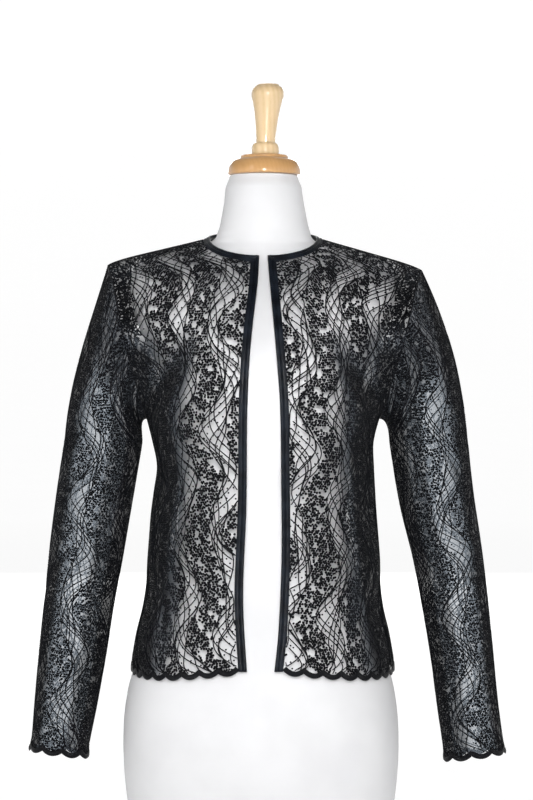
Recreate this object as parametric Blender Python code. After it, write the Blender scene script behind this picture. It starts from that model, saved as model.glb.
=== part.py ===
"""A scalloped lace jacket, open down the front, on a limbless dress form with a turned wooden neck cap.

Metres. X runs to the wearer's left, Y to the back and Z up from the flat underside of the form.

The cloth is one continuous middle surface, cut at its seams: two fronts, one back and two set-in sleeves.
Each piece is that surface's own stretch, given the cloth's thickness along the shared normals, and drawn in
a little at every edge, so that neighbours meet edge to edge with a hair's gap. The bindings and the scalloped
borders are built from the same points, moved out."""

import math

import bmesh
import bpy
import numpy as np

RIGHT, LEFT = -1, 1
DOWN = np.array([0.0, 0.0, -1.0])
SIDE_NAMES = {RIGHT: "right", LEFT: "left"}

# Cloth
WALL = 0.0012
SEAM_GAP = 0.0004
CLEARANCE = 0.0003

# Jacket heights
FRONT_HEM_CUSP_Z = 0.2295
SIDE_HEM_CUSP_Z = 0.2215
BINDING_END_Z = 0.2285
FRONT_HEM_SAG = 0.0060
SCALLOP_DROP = 0.0055
BORDER_DEPTH = 0.012
BORDER_FLARE = 0.10
ARMPIT_Z = 0.5180
NECK_CORNER_Z = 0.7085
BACK_NECK_Z = 0.7460
NECK_POINT = (0.0640, 0.0060, 0.7345)
SHOULDER_POINT = {RIGHT: (0.1855, 0.0120, 0.7025), LEFT: (0.1900, 0.0120, 0.6960)}

# Each front's free edge: height, right edge's distance from the middle, left edge's distance, depth of the cloth
FRONT_EDGE = {
    "z": (0.2200, 0.2650, 0.3110, 0.3570, 0.4030, 0.4480, 0.4940, 0.5400, 0.5860, 0.6320, 0.6730, 0.7085),
    "right": (0.0175, 0.0206, 0.0226, 0.0214, 0.0192, 0.0183, 0.0181, 0.0173, 0.0150, 0.0110, 0.0062, 0.0042),
    "left": (0.0120, 0.0172, 0.0198, 0.0214, 0.0215, 0.0209, 0.0205, 0.0193, 0.0160, 0.0120, 0.0082, 0.0054),
    "depth": (0.1235, 0.1200, 0.1180, 0.1185, 0.1215, 0.1260, 0.1300, 0.1330, 0.1315, 0.1200, 0.0990, 0.0700),
}

# The centre of the back: height and depth of the cloth
BACK = {
    "z": (0.2200, 0.2650, 0.3000, 0.3500, 0.4200, 0.4650, 0.5180, 0.6200, 0.6900, 0.7460),
    "depth": (0.1280, 0.1215, 0.1175, 0.1130, 0.1110, 0.1125, 0.1170, 0.1160, 0.0960, 0.0660),
}

# The side seams: height, half width at the right and left seams, depth of the seam
SIDE_SEAM = {
    "z": (0.2150, 0.2400, 0.2700, 0.3000, 0.3500, 0.4200, 0.4600, 0.4800, 0.4980, 0.5180),
    "right": (0.1595, 0.1555, 0.1498, 0.1422, 0.1382, 0.1325, 0.1268, 0.1292, 0.1350, 0.1395),
    "left": (0.1585, 0.1550, 0.1492, 0.1422, 0.1400, 0.1348, 0.1328, 0.1318, 0.1335, 0.1395),
    "depth": (0.0030, 0.0030, 0.0025, 0.0020, 0.0020, 0.0025, 0.0030, 0.0040, 0.0050, 0.0060),
}

# The armhole seam: height and distance from the middle; its depth is two half ellipses
ARMHOLE_LINE = {
    "z": (0.5180, 0.5580, 0.6000, 0.6480, 0.6850, 0.7040),
    "out": (0.1395, 0.1495, 0.1610, 0.1715, 0.1800, 0.1870),
}
ARMHOLE_FRONT = 0.060
ARMHOLE_BACK = 0.064

# Neckline: depth of its middle, its front and back reach, and the shoulder and chest slopes of the cloth round it
NECK_MIDDLE_Y = 0.0060
NECK_FRONT_REACH = 0.0760
NECK_BACK_REACH = 0.0600
SHOULDER_SLOPE = math.radians(12.0)
CHEST_SLOPE = math.radians(58.0)
NAPE_SLOPE = math.radians(52.0)

# Sleeves: height of the ring's centre, its distance from the middle and half width on each side, its half depth
# and the depth of its centre
SLEEVE = {
    "z": (0.4920, 0.4200, 0.3600, 0.3000, 0.2400, 0.1800, 0.1270, 0.1100),
    "right_out": (0.1912, 0.2024, 0.2112, 0.2195, 0.2270, 0.2347, 0.2417, 0.2438),
    "left_out": (0.1984, 0.2083, 0.2200, 0.2292, 0.2369, 0.2433, 0.2503, 0.2524),
    "right_width": (0.0460, 0.0452, 0.0438, 0.0412, 0.0396, 0.0367, 0.0336, 0.0334),
    "left_width": (0.0462, 0.0442, 0.0413, 0.0391, 0.0370, 0.0358, 0.0353, 0.0352),
    "depth": (0.0560, 0.0530, 0.0505, 0.0480, 0.0445, 0.0405, 0.0370, 0.0362),
    "y": (0.0010, -0.0030, -0.0060, -0.0100, -0.0150, -0.0210, -0.0260, -0.0275),
}
HEAD_SPREAD = {RIGHT: 0.26, LEFT: 0.42}
CUFF_CUSP_Z = {RIGHT: 0.1240, LEFT: 0.1205}

# Bindings: folded strips that hold the cloth's edge; width, half thickness at the stitches and at the roll
FRONT_RIM_WIDTH = 0.0100
NECK_RIM_WIDTH = 0.0085
BINDING_FLAT = 0.0010
BINDING_ROLL = 0.0015

# The scalloped borders: how many scallops each has, and the radius of the stitched cord along them
HEM_SCALLOPS = {"front": 9, "back": 18}
CUFF_SCALLOPS = 9
SCALLOP_STEPS = 5
CORD_RADIUS = 0.0012

# The dress form: height, half width, the section's middle across and in depth, its front and back reach, and
# how square it is
FORM = {
    "z": (0.000, 0.060, 0.126, 0.180, 0.200, 0.216, 0.235, 0.255, 0.300,
          0.350, 0.410, 0.480, 0.545, 0.590, 0.630, 0.660, 0.680, 0.698,
          0.710, 0.720, 0.727, 0.733, 0.742, 0.765, 0.790, 0.809),
    "half": (0.1480, 0.1595, 0.1648, 0.1618, 0.1582, 0.1535, 0.1465, 0.1385, 0.1215,
             0.1070, 0.1000, 0.1050, 0.1150, 0.1300, 0.1500, 0.1580, 0.1590, 0.1540,
             0.1380, 0.1060, 0.0708, 0.0598, 0.0555, 0.0500, 0.0462, 0.0450),
    "across": (-0.0024, -0.0024, -0.0024, -0.0024, -0.0022, -0.0020, -0.0018, -0.0016, -0.0012,
               -0.0008, -0.0004, 0.0000, 0.0000, 0.0000, 0.0000, 0.0000, 0.0000, 0.0000,
               0.0000, 0.0000, 0.0004, 0.0008, 0.0012, 0.0012, 0.0008, 0.0006),
    "middle": (0.000, 0.000, 0.000, 0.000, 0.000, 0.000, 0.000, 0.000, 0.000,
               0.000, 0.000, 0.000, 0.000, 0.000, 0.002, 0.004, 0.006, 0.008,
               0.009, 0.009, 0.009, 0.008, 0.006, 0.004, 0.003, 0.003),
    "front": (0.1060, 0.1120, 0.1130, 0.1080, 0.1055, 0.1030, 0.1000, 0.0970, 0.0900,
              0.0860, 0.0860, 0.0990, 0.1190, 0.1140, 0.0970, 0.0820, 0.0710, 0.0620,
              0.0560, 0.0525, 0.0508, 0.0498, 0.0485, 0.0455, 0.0430, 0.0425),
    "back": (0.1120, 0.1200, 0.1220, 0.1180, 0.1150, 0.1110, 0.1070, 0.1010, 0.0890,
             0.0800, 0.0770, 0.0840, 0.0930, 0.0980, 0.0990, 0.0940, 0.0860, 0.0760,
             0.0700, 0.0640, 0.0600, 0.0585, 0.0565, 0.0520, 0.0490, 0.0480),
    "square": (2.4, 2.4, 2.3, 2.2, 2.1, 2.1, 2.1, 2.1, 2.1,
               2.1, 2.1, 2.1, 2.1, 2.1, 2.0, 1.85, 1.70, 1.50,
               1.38, 1.38, 1.50, 1.80, 2.0, 2.0, 2.0, 2.0),
}
FORM_ARC_STEPS = 8

# The wooden neck cap, its ring and the finial, each turned round its own axis: radius and height
CAP_AXIS = (0.0016, 0.0030)
RING_AXIS = (0.0028, 0.0030)
FINIAL_AXIS = (0.0031, 0.0030)
FINIAL_LEAN = 0.042
CAP_PROFILE = (
    (0.0410, 0.8094), (0.0437, 0.8120), (0.0440, 0.8215), (0.0415, 0.8275), (0.0290, 0.8300), (0.0286, 0.8345),
    (0.0262, 0.8355),
)
RING_PROFILE = ((0.0120, 0.8358), (0.0148, 0.8364), (0.0166, 0.8400), (0.0160, 0.8440), (0.0130, 0.8462))
FINIAL_PROFILE = (
    (0.0100, 0.8465), (0.0116, 0.8500), (0.0125, 0.8640), (0.0150, 0.8850), (0.0180, 0.8990), (0.0196, 0.9085),
    (0.0186, 0.9150), (0.0150, 0.9195), (0.0120, 0.9200),
)
TURNED_SIDES = 28

# How strongly a row or a sleeve's run leaves its ends straight, as a share of its length
MIDDLE_PULL = 0.42
SIDE_PULL = 0.44
SHOULDER_PULL = 0.14
HEAD_PULL = 0.36

# The way the cloth runs into the armhole seam, for a left side: at the side, at the chest or blade, at the shoulder
SIDE_WAY = (0.05, 1.00, 0.00)
CHEST_WAY = (0.80, 0.50, -0.12)
CROWN_WAY = (0.84, 0.00, -0.54)

# Grid steps of the cloth's pieces
LOWER_ROWS = 10
EDGE_ROWS = 7
NECK_ROWS = 6
ARMHOLE_ROWS = EDGE_ROWS + NECK_ROWS
PANEL_COLUMNS = 10
HEM_FINE_STEPS = 60
SLEEVE_HEAD_ROWS = 6
SLEEVE_ROWS = 11


def column(table, key):
    """A smooth function through one column of a table, against its heights."""
    order = np.argsort(table[next(iter(table))])
    x = np.asarray(table[next(iter(table))], float)[order]
    y = np.asarray(table[key], float)[order]
    slope = np.gradient(y, x)

    def value(at):
        k = int(np.clip(np.searchsorted(x, at) - 1, 0, len(x) - 2))
        step = x[k + 1] - x[k]
        f = min(max((at - x[k]) / step, 0.0), 1.0)
        rise = (1 + 2 * f) * (1 - f) ** 2 * y[k] + f * f * (3 - 2 * f) * y[k + 1]
        return float(rise + step * f * (1 - f) * ((1 - f) * slope[k] - f * slope[k + 1]))

    return value


def unit(vector):
    return vector / np.linalg.norm(vector)


def blend(a, b, f):
    return a + (b - a) * f


def ease(f):
    f = min(max(f, 0.0), 1.0)
    return f * f * (3 - 2 * f)


def bezier(ends, handles, f):
    """A point of the cubic curve between two ends, pulled by two handles."""
    g = 1 - f
    return ends[0] * g**3 + handles[0] * 3 * g * g * f + handles[1] * 3 * g * f * f + ends[1] * f**3


front_depth = column(FRONT_EDGE, "depth")
edge_distance = {side: column(FRONT_EDGE, SIDE_NAMES[side]) for side in (RIGHT, LEFT)}
back_depth = column(BACK, "depth")
side_half = {side: column(SIDE_SEAM, SIDE_NAMES[side]) for side in (RIGHT, LEFT)}
side_depth = column(SIDE_SEAM, "depth")
armhole_out = column(ARMHOLE_LINE, "out")


def neckline(side, turn, back):
    """A point of the neckline, from the middle (0) to the shoulder (1), and the way down into the cloth."""
    start = 0.0 if back else edge_distance[side](NECK_CORNER_Z) / NECK_POINT[0]
    angle = math.asin(start) + (math.pi / 2 - math.asin(start)) * turn
    reach = NECK_BACK_REACH if back else -NECK_FRONT_REACH
    low = BACK_NECK_Z if back else NECK_CORNER_Z
    steep = NAPE_SLOPE if back else CHEST_SLOPE
    point = np.array(
        [
            side * NECK_POINT[0] * math.sin(angle),
            NECK_MIDDLE_Y + reach * math.cos(angle),
            blend(low, NECK_POINT[2], 1 - math.cos(angle)),
        ]
    )
    slope = blend(SHOULDER_SLOPE, steep, math.cos(angle))
    outward = np.array([side * math.sin(angle), math.copysign(math.cos(angle), reach), 0.0])
    return point, outward * math.cos(slope) - np.array([0.0, 0.0, math.sin(slope)])


def armhole(side, turn, back):
    """A point of the armhole seam, half a turn from the armpit (0) to the shoulder point (1)."""
    angle = math.pi * (1 - turn)
    top = SHOULDER_POINT[side][2]
    z = (top + ARMPIT_Z) / 2 + (top - ARMPIT_Z) / 2 * math.cos(angle)
    reach = ARMHOLE_BACK if back else -ARMHOLE_FRONT
    y = blend(side_depth(ARMPIT_Z), SHOULDER_POINT[side][1], turn) + reach * math.sin(angle)
    height = blend(ARMPIT_Z, SHOULDER_POINT[RIGHT][2], (z - ARMPIT_Z) / (top - ARMPIT_Z))
    out = armhole_out(height) + (SHOULDER_POINT[side][0] - SHOULDER_POINT[RIGHT][0]) * turn
    return np.array([side * out, y, z])


def cloth_way(way, side, back):
    """A direction given for the left front, turned for this side and for a front or the back."""
    return np.array([side * way[0], way[1] * (-1 if back else 1), way[2]])


def panel_row(side, row, back):
    """One row of a front, or of half the back: the garment's edge, the cloth's start, its end, and both handles."""
    corner_row = LOWER_ROWS + EDGE_ROWS
    top_z = BACK_NECK_Z if back else NECK_CORNER_Z
    if row <= LOWER_ROWS:
        low = SIDE_HEM_CUSP_Z if back else FRONT_HEM_CUSP_Z
        z = blend(low + BORDER_DEPTH, ARMPIT_Z, row / LOWER_ROWS)
    else:
        z = blend(ARMPIT_Z, top_z, min((row - LOWER_ROWS) / EDGE_ROWS, 1.0))
    start_way = np.array([float(side), 0.0, 0.0])
    if row < corner_row:
        x = 0.0 if back else side * edge_distance[side](z)
        y = back_depth(z) if back else -front_depth(z)
        rim = np.array([x, y, z])
        inner = rim + start_way * FRONT_RIM_WIDTH
    else:
        turn = (row - corner_row) / NECK_ROWS
        rim, down = neckline(side, turn, back)
        inner = rim + down * NECK_RIM_WIDTH
        if row == corner_row and not back:
            inner = inner + start_way * FRONT_RIM_WIDTH
        seam_run = np.subtract(SHOULDER_POINT[side], NECK_POINT) * (side, 1, 1)
        start_way = unit(blend(start_way, unit(seam_run), turn))
    if row <= LOWER_ROWS:
        side_z = blend(SIDE_HEM_CUSP_Z + BORDER_DEPTH, ARMPIT_Z, row / LOWER_ROWS)
        end = np.array([side * side_half[side](side_z), side_depth(side_z), side_z])
        end_way = cloth_way(SIDE_WAY, side, back)
    else:
        turn = (row - LOWER_ROWS) / ARMHOLE_ROWS
        end = armhole(side, turn, back)
        side_way, chest_way, crown_way = (cloth_way(way, side, back) for way in (SIDE_WAY, CHEST_WAY, CROWN_WAY))
        end_way = blend(side_way, chest_way, ease(turn / 0.4))
        end_way = blend(end_way, crown_way, ease((turn - 0.45) / 0.5))
    chord = np.linalg.norm(end - inner)
    side_pull = blend(SIDE_PULL, SHOULDER_PULL, ease((row - LOWER_ROWS) / ARMHOLE_ROWS))
    handles = np.array([inner + start_way * chord * MIDDLE_PULL, end - unit(end_way) * chord * side_pull])
    if not back:
        handles[:, 2] -= FRONT_HEM_SAG * 4 / 3 * max(1 - row / LOWER_ROWS, 0.0)
    return rim, inner, end, handles


def panel_line(side, row, back, steps):
    """The points of one row, from the garment's edge to the side seam or the armhole."""
    rim, inner, end, handles = panel_row(side, row, back)
    return np.array([rim] + [bezier((inner, end), handles, k / steps) for k in range(steps + 1)])


def panel_grid(side, back):
    """The middle surface of a front, or of half the back: rows from the hem line up, columns from the middle out."""
    return np.array([panel_line(side, row, back, PANEL_COLUMNS) for row in range(LOWER_ROWS + ARMHOLE_ROWS + 1)])


sleeve_column = {key: column(SLEEVE, key) for key in SLEEVE if key != "z"}


def sleeve_centre(side, z):
    return np.array([side * sleeve_column[f"{SIDE_NAMES[side]}_out"](z), sleeve_column["y"](z), z])


def sleeve_ring(side, z, angles):
    """One ring of the sleeve, square to its run: outermost at angle 0, front at a quarter turn, innermost at half."""
    step = 0.004
    centre = sleeve_centre(side, z)
    run = unit(sleeve_centre(side, z - step) - sleeve_centre(side, z + step))
    back_way = unit(np.array([0.0, 1.0, 0.0]) - run * run[1])
    out_way = unit(np.cross(run, back_way)) * side
    width, depth = sleeve_column[f"{SIDE_NAMES[side]}_width"](z), sleeve_column["depth"](z)
    ring = [centre + out_way * width * math.cos(a) - back_way * depth * math.sin(a) for a in angles]
    return np.array(ring), run


def armhole_ring(side):
    """The armhole seam's points, from the shoulder point down the front to the armpit and up the back."""
    front = [armhole(side, 1 - k / ARMHOLE_ROWS, False) for k in range(ARMHOLE_ROWS)]
    rear = [armhole(side, k / ARMHOLE_ROWS, True) for k in range(ARMHOLE_ROWS)]
    return np.array(front + rear)


def sleeve_grid(side):
    """The sleeve's middle surface: rings from the armhole seam to the top of the cuff's border, each closed round."""
    seam = armhole_ring(side)
    angles = [math.pi * k / ARMHOLE_ROWS for k in range(2 * ARMHOLE_ROWS)]
    head_z = SLEEVE["z"][0]
    first, run = sleeve_ring(side, head_z, angles)
    rings = []
    for row in range(SLEEVE_HEAD_ROWS):
        f = row / SLEEVE_HEAD_ROWS
        ring = []
        for point, target, a in zip(seam, first, angles):
            low = (1 - math.cos(a)) / 2
            out = blend(HEAD_SPREAD[side], 1.0, low**2)
            away = unit(np.array([side * out, -0.40 * math.sin(a), -0.90 * (1 - low**3)]))
            reach = np.linalg.norm(target - point)
            handles = (point + away * reach * HEAD_PULL, target - run * reach * HEAD_PULL)
            ring.append(bezier((point, target), handles, f))
        rings.append(ring)
    border_z = CUFF_CUSP_Z[side] + BORDER_DEPTH
    for row in range(SLEEVE_ROWS + 1):
        rings.append(sleeve_ring(side, blend(head_z, border_z, row / SLEEVE_ROWS), angles)[0])
    return np.array(rings)


class Cloth:
    """The jacket's middle surface: shared points, shared normals, and each piece's own quads."""

    def __init__(self):
        self.points = []
        self.index = {}
        self.pieces = {}

    def add(self, name, grid, inside, wrap=False):
        """Adds a grid of points to a piece. Its faces are wound to face away from the points inside."""
        ids = [[self.point(p) for p in row] for row in grid]
        faces = []
        columns = len(ids[0]) if wrap else len(ids[0]) - 1
        for j in range(len(ids) - 1):
            for i in range(columns):
                k = (i + 1) % len(ids[0])
                face = tuple(dict.fromkeys((ids[j][i], ids[j][k], ids[j + 1][k], ids[j + 1][i])))
                faces.append(face)
        first = faces[len(faces) // 2]
        centre = np.mean([self.points[k] for k in first], axis=0)
        if np.dot(self.face_normal(first), centre - inside(centre)) < 0:
            faces = [tuple(reversed(face)) for face in faces]
        self.pieces.setdefault(name, []).extend(faces)
        return ids

    def point(self, p):
        key = tuple(np.round(p, 6))
        if key not in self.index:
            self.index[key] = len(self.points)
            self.points.append(np.asarray(p, float))
        return self.index[key]

    def face_normal(self, face):
        corners = np.array([self.points[k] for k in face])
        return unit(np.cross(corners, np.roll(corners, -1, axis=0)).sum(axis=0))

    def find_normals(self):
        """Each point's normal, from all the pieces that meet there, so that seams are mitred."""
        total = np.zeros((len(self.points), 3))
        for faces in self.pieces.values():
            for face in faces:
                total[list(face)] += self.face_normal(face)
        self.normals = total / np.maximum(np.linalg.norm(total, axis=1), 1e-9)[:, None]

    def drawn_in(self, name):
        """The piece's points, with those on its edges drawn in by half the seam gap."""
        points = np.array(self.points)
        faces = self.pieces[name]
        rim = free_sides(faces)
        free = {k for side in rim for k in side}
        pull = np.zeros_like(points)
        count = np.zeros(len(points))
        for face in faces:
            centre = points[list(face)].mean(axis=0)
            for k in free.intersection(face):
                pull[k] += unit(centre - points[k])
                count[k] += 1
        for a, b in rim:
            if count[a] > 1:
                along = unit(points[b] - points[a])
                pull[a] -= along * np.dot(pull[a], along)
        for k in sorted(free):
            corner = 1.0 if count[k] > 1 else math.sqrt(2)
            points[k] += unit(pull[k]) * corner * SEAM_GAP / 2
        return points


def free_sides(faces):
    """The directed sides of the faces that no other face shares."""
    sides = [(face[k], face[(k + 1) % len(face)]) for face in faces for k in range(len(face))]
    known = set(sides)
    return [(a, b) for a, b in sides if (b, a) not in known]


def material(name, color, roughness, alpha=1.0):
    made = bpy.data.materials.new(name)
    made.use_nodes = True
    shader = made.node_tree.nodes["Principled BSDF"]
    shader.inputs["Base Color"].default_value = (*color, 1.0)
    shader.inputs["Roughness"].default_value = roughness
    shader.inputs["Metallic"].default_value = 0.0
    shader.inputs["Alpha"].default_value = alpha
    return made


def solid(name, points, faces, made, smooth_angle=50.0):
    """One closed, outward-facing object from points and faces."""
    mesh = bpy.data.meshes.new(name)
    mesh.from_pydata([tuple(p) for p in points], [], faces)
    bm = bmesh.new()
    bm.from_mesh(mesh)
    loose = [v for v in bm.verts if not v.link_faces]
    bmesh.ops.delete(bm, geom=loose, context="VERTS")
    bmesh.ops.recalc_face_normals(bm, faces=bm.faces)
    bm.to_mesh(mesh)
    bm.free()
    mesh.shade_smooth()
    mesh.set_sharp_from_angle(angle=math.radians(smooth_angle))
    mesh.materials.append(made)
    placed = bpy.data.objects.new(name, mesh)
    bpy.context.scene.collection.objects.link(placed)
    return placed


def cloth_wall(cloth, name, made):
    """A piece of the cloth as a wall of even thickness round the middle surface."""
    points = cloth.drawn_in(name)
    faces = cloth.pieces[name]
    count = len(points)
    both = np.vstack([points + cloth.normals * WALL / 2, points - cloth.normals * WALL / 2])
    wall = list(faces)
    wall += [tuple(k + count for k in reversed(face)) for face in faces]
    wall += [(b, a, a + count, b + count) for a, b in free_sides(faces)]
    return solid(name, both, wall, made)


def strip(name, sections, made, closed=False):
    """A closed strip through its sections, each a ring of the same number of points; an open strip gets flat ends."""
    count = len(sections[0])
    rings = len(sections)
    faces = []
    for j in range(rings if closed else rings - 1):
        for i in range(count):
            a, b = j * count + i, j * count + (i + 1) % count
            c, d = ((j + 1) % rings) * count + (i + 1) % count, ((j + 1) % rings) * count + i
            faces.append((a, b, c, d))
    if not closed:
        faces.append(tuple(range(count)))
        faces.append(tuple(range((rings - 1) * count, rings * count)))
    return solid(name, np.vstack(sections), faces, made)


def binding_section(rim, inner, rim_normal, inner_normal, shift):
    """A folded strip's section between the garment's edge and the cloth: flat at its stitches, a roll at its edge."""
    across = unit(inner - rim)
    near = inner - across * SEAM_GAP
    roll = rim + across * BINDING_ROLL
    middle = blend(rim, inner, 0.45)
    middle_normal = unit(rim_normal + inner_normal)
    ring = [
        near + inner_normal * BINDING_FLAT,
        middle + middle_normal * BINDING_FLAT,
        roll + across * BINDING_ROLL + rim_normal * BINDING_ROLL,
        roll - across * BINDING_ROLL * 0.6 + rim_normal * BINDING_ROLL * 0.8,
        roll - across * BINDING_ROLL,
        roll - across * BINDING_ROLL * 0.6 - rim_normal * BINDING_ROLL * 0.8,
        middle - middle_normal * BINDING_FLAT,
        near - inner_normal * BINDING_FLAT,
    ]
    return np.array(ring) + shift


def border_sections(line, outward, run):
    """Sections of a scalloped border that runs on from a line of points: a wall that ends in a round stitched cord."""
    sections = []
    for k, (point, out) in enumerate(zip(line, outward)):
        swing = abs(math.sin(math.pi * k / SCALLOP_STEPS))
        drop = BORDER_DEPTH + SCALLOP_DROP * swing**0.8
        down = unit(run + out * BORDER_FLARE)
        top = point + down * CLEARANCE
        cord = point + down * (drop - CORD_RADIUS)
        ring = [
            top + out * WALL / 2,
            cord - down * CORD_RADIUS + out * WALL / 2,
            cord + out * CORD_RADIUS,
            cord + down * CORD_RADIUS,
            cord - out * CORD_RADIUS,
            cord - down * CORD_RADIUS - out * WALL / 2,
            top - out * WALL / 2,
        ]
        sections.append(np.array(ring))
    return sections


def level_outward(line, closed):
    """The level direction square to a line of points, on its outer side."""
    if closed:
        along = np.roll(line, -1, axis=0) - np.roll(line, 1, axis=0)
    else:
        along = np.gradient(line, axis=0)
    out = np.stack([along[:, 1], -along[:, 0], np.zeros(len(line))], axis=1)
    return out / np.linalg.norm(out, axis=1)[:, None]


def even_steps(line, count):
    """Points at even steps along a polyline."""
    gone = np.concatenate([[0.0], np.cumsum(np.linalg.norm(np.diff(line, axis=0), axis=1))])
    at = np.linspace(0.0, gone[-1], count + 1)
    return np.stack([np.interp(at, gone, line[:, axis]) for axis in range(3)], axis=1)


def make_jacket(lace, satin):
    """Lays out the whole middle surface, then gives each of its pieces its thickness."""
    cloth = Cloth()
    corner_row = LOWER_ROWS + EDGE_ROWS

    def body_middle(p):
        return np.array([0.0, 0.0, p[2]])

    rims = {}
    for side in (RIGHT, LEFT):
        name = SIDE_NAMES[side]
        front = panel_grid(side, False)
        rear = panel_grid(side, True)
        cloth.add(f"front_{name}", front[:, 1:], body_middle)
        cloth.add("back", rear[:, 1:], body_middle)
        centre = rear[: corner_row + 1, :2].copy()
        centre[corner_row, 0] = centre[corner_row, 1]
        cloth.add("back", centre, body_middle)
        rims["front", side] = cloth.add(f"binding_front_{name}", front[: corner_row + 1, :2], body_middle)
        rims["neck", side] = cloth.add("binding_neck", front[corner_row:, :2], body_middle)
        rims["nape", side] = cloth.add("binding_neck", rear[corner_row:, :2], body_middle)

        def sleeve_middle(p, side=side):
            return sleeve_centre(side, p[2])

        cloth.add(f"sleeve_{name}", sleeve_grid(side), sleeve_middle, wrap=True)
    cloth.find_normals()
    for name in cloth.pieces:
        if not name.startswith("binding"):
            cloth_wall(cloth, name, lace)
    make_bindings(cloth, rims, satin)
    make_borders(lace)


def make_bindings(cloth, rims, satin):
    """The folded strips down the two front edges and round the neck, mitred where they meet."""

    def sections(pairs, first_shift, last_shift):
        made = []
        for number, (rim, inner) in enumerate(pairs):
            shift = first_shift if number == 0 else last_shift if number == len(pairs) - 1 else 0.0
            places = cloth.points[rim], cloth.points[inner]
            made.append(binding_section(*places, cloth.normals[rim], cloth.normals[inner], (0.0, 0.0, shift)))
        return made

    for side in (RIGHT, LEFT):
        rings = sections(rims["front", side], 0.0, -CLEARANCE)
        x, y = side * edge_distance[side](BINDING_END_Z), -front_depth(BINDING_END_Z)
        tail = np.array([x, y, BINDING_END_Z]) - cloth.points[rims["front", side][0][0]]
        rings.insert(0, rings[0] + tail)
        strip(f"binding_front_{SIDE_NAMES[side]}", rings, satin)
    right = rims["neck", RIGHT] + rims["nape", RIGHT][-2::-1]
    left = rims["neck", LEFT] + rims["nape", LEFT][-2:0:-1]
    strip("binding_neck", sections(right + left[::-1], CLEARANCE, CLEARANCE), satin)


def make_borders(lace):
    """The scalloped hems of the fronts and the back, and the scalloped cuffs."""

    def trimmed(line, scallops):
        line = even_steps(line, scallops * SCALLOP_STEPS)
        line[0] += unit(line[1] - line[0]) * SEAM_GAP
        line[-1] -= unit(line[-1] - line[-2]) * SEAM_GAP
        return line

    for side in (RIGHT, LEFT):
        line = trimmed(panel_line(side, 0, False, HEM_FINE_STEPS)[1:], HEM_SCALLOPS["front"])
        out = level_outward(line, False) * side
        strip(f"hem_scallops_front_{SIDE_NAMES[side]}", border_sections(line, out, DOWN), lace)
    right, left = (panel_line(side, 0, True, HEM_FINE_STEPS) for side in (RIGHT, LEFT))
    line = trimmed(np.vstack([right[::-1], left[1:]]), HEM_SCALLOPS["back"])
    strip("hem_scallops_back", border_sections(line, -level_outward(line, False), DOWN), lace)
    for side in (RIGHT, LEFT):
        steps = CUFF_SCALLOPS * SCALLOP_STEPS
        angles = [2 * math.pi * k / steps for k in range(steps)]
        line, run = sleeve_ring(side, CUFF_CUSP_Z[side] + BORDER_DEPTH, angles)
        sections = border_sections(line, level_outward(line, True) * side, run)
        strip(f"cuff_scallops_{SIDE_NAMES[side]}", sections, lace, closed=True)


def make_form(jersey):
    """The torso and neck: level sections of two half superellipses, with a flat underside and a flat neck top."""
    steps = 4 * FORM_ARC_STEPS
    rings = []
    for z, half, across, middle, front, back, square in zip(*FORM.values()):
        ring = []
        for k in range(steps):
            angle = 2 * math.pi * k / steps
            c, s = math.cos(angle), math.sin(angle)
            depth = back if s > 0 else front
            x = across + half * math.copysign(abs(c) ** (2 / square), c)
            y = middle + depth * math.copysign(abs(s) ** (2 / square), s)
            ring.append((x, y, z))
        rings.append(np.array(ring))
    strip("form_torso", rings, jersey)


def turned(name, profile, axis, wood, lean=0.0):
    """A piece turned on a lathe, flat at both ends, whose axis may lean to the left as it rises."""
    angles = [2 * math.pi * k / TURNED_SIDES for k in range(TURNED_SIDES)]
    foot = profile[0][1]
    rings = []
    for radius, z in profile:
        x = axis[0] + lean * (z - foot)
        rings.append(np.array([(x + radius * math.cos(a), axis[1] + radius * math.sin(a), z) for a in angles]))
    strip(name, rings, wood)


def main():
    for old in list(bpy.data.objects):
        bpy.data.objects.remove(old)
    lace = material("black_lace", (0.012, 0.012, 0.015), 0.55)
    satin = material("black_satin", (0.010, 0.011, 0.015), 0.35)
    jersey = material("white_jersey", (0.86, 0.86, 0.87), 0.90)
    honey = material("honey_wood", (0.66, 0.38, 0.17), 0.30)
    maple = material("maple_wood", (0.80, 0.55, 0.32), 0.28)
    make_jacket(lace, satin)
    make_form(jersey)
    turned("neck_cap", CAP_PROFILE, CAP_AXIS, honey)
    turned("finial_ring", RING_PROFILE, RING_AXIS, honey)
    turned("finial", FINIAL_PROFILE, FINIAL_AXIS, maple, FINIAL_LEAN)


main()
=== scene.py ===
# %% [markdown]
# # A corded-lace jacket on a dress form
#
# The real jacket is cut from one all-over lace: a sheer black net, on which a machine has sewn fine
# wandering cords and fields of small round knots. A folded satin strip binds the front edges and the neck,
# and the lace's own scalloped border, overcast with thick thread, makes the hem and the cuffs. It hangs open
# on a white jersey form with a turned wooden cap.
#
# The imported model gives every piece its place. Here each plain wall gets its cloth: a sheet of sheer net,
# with the cords and knots sewn on it as real geometry, so that the white form shows between them.

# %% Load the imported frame
import math

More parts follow.
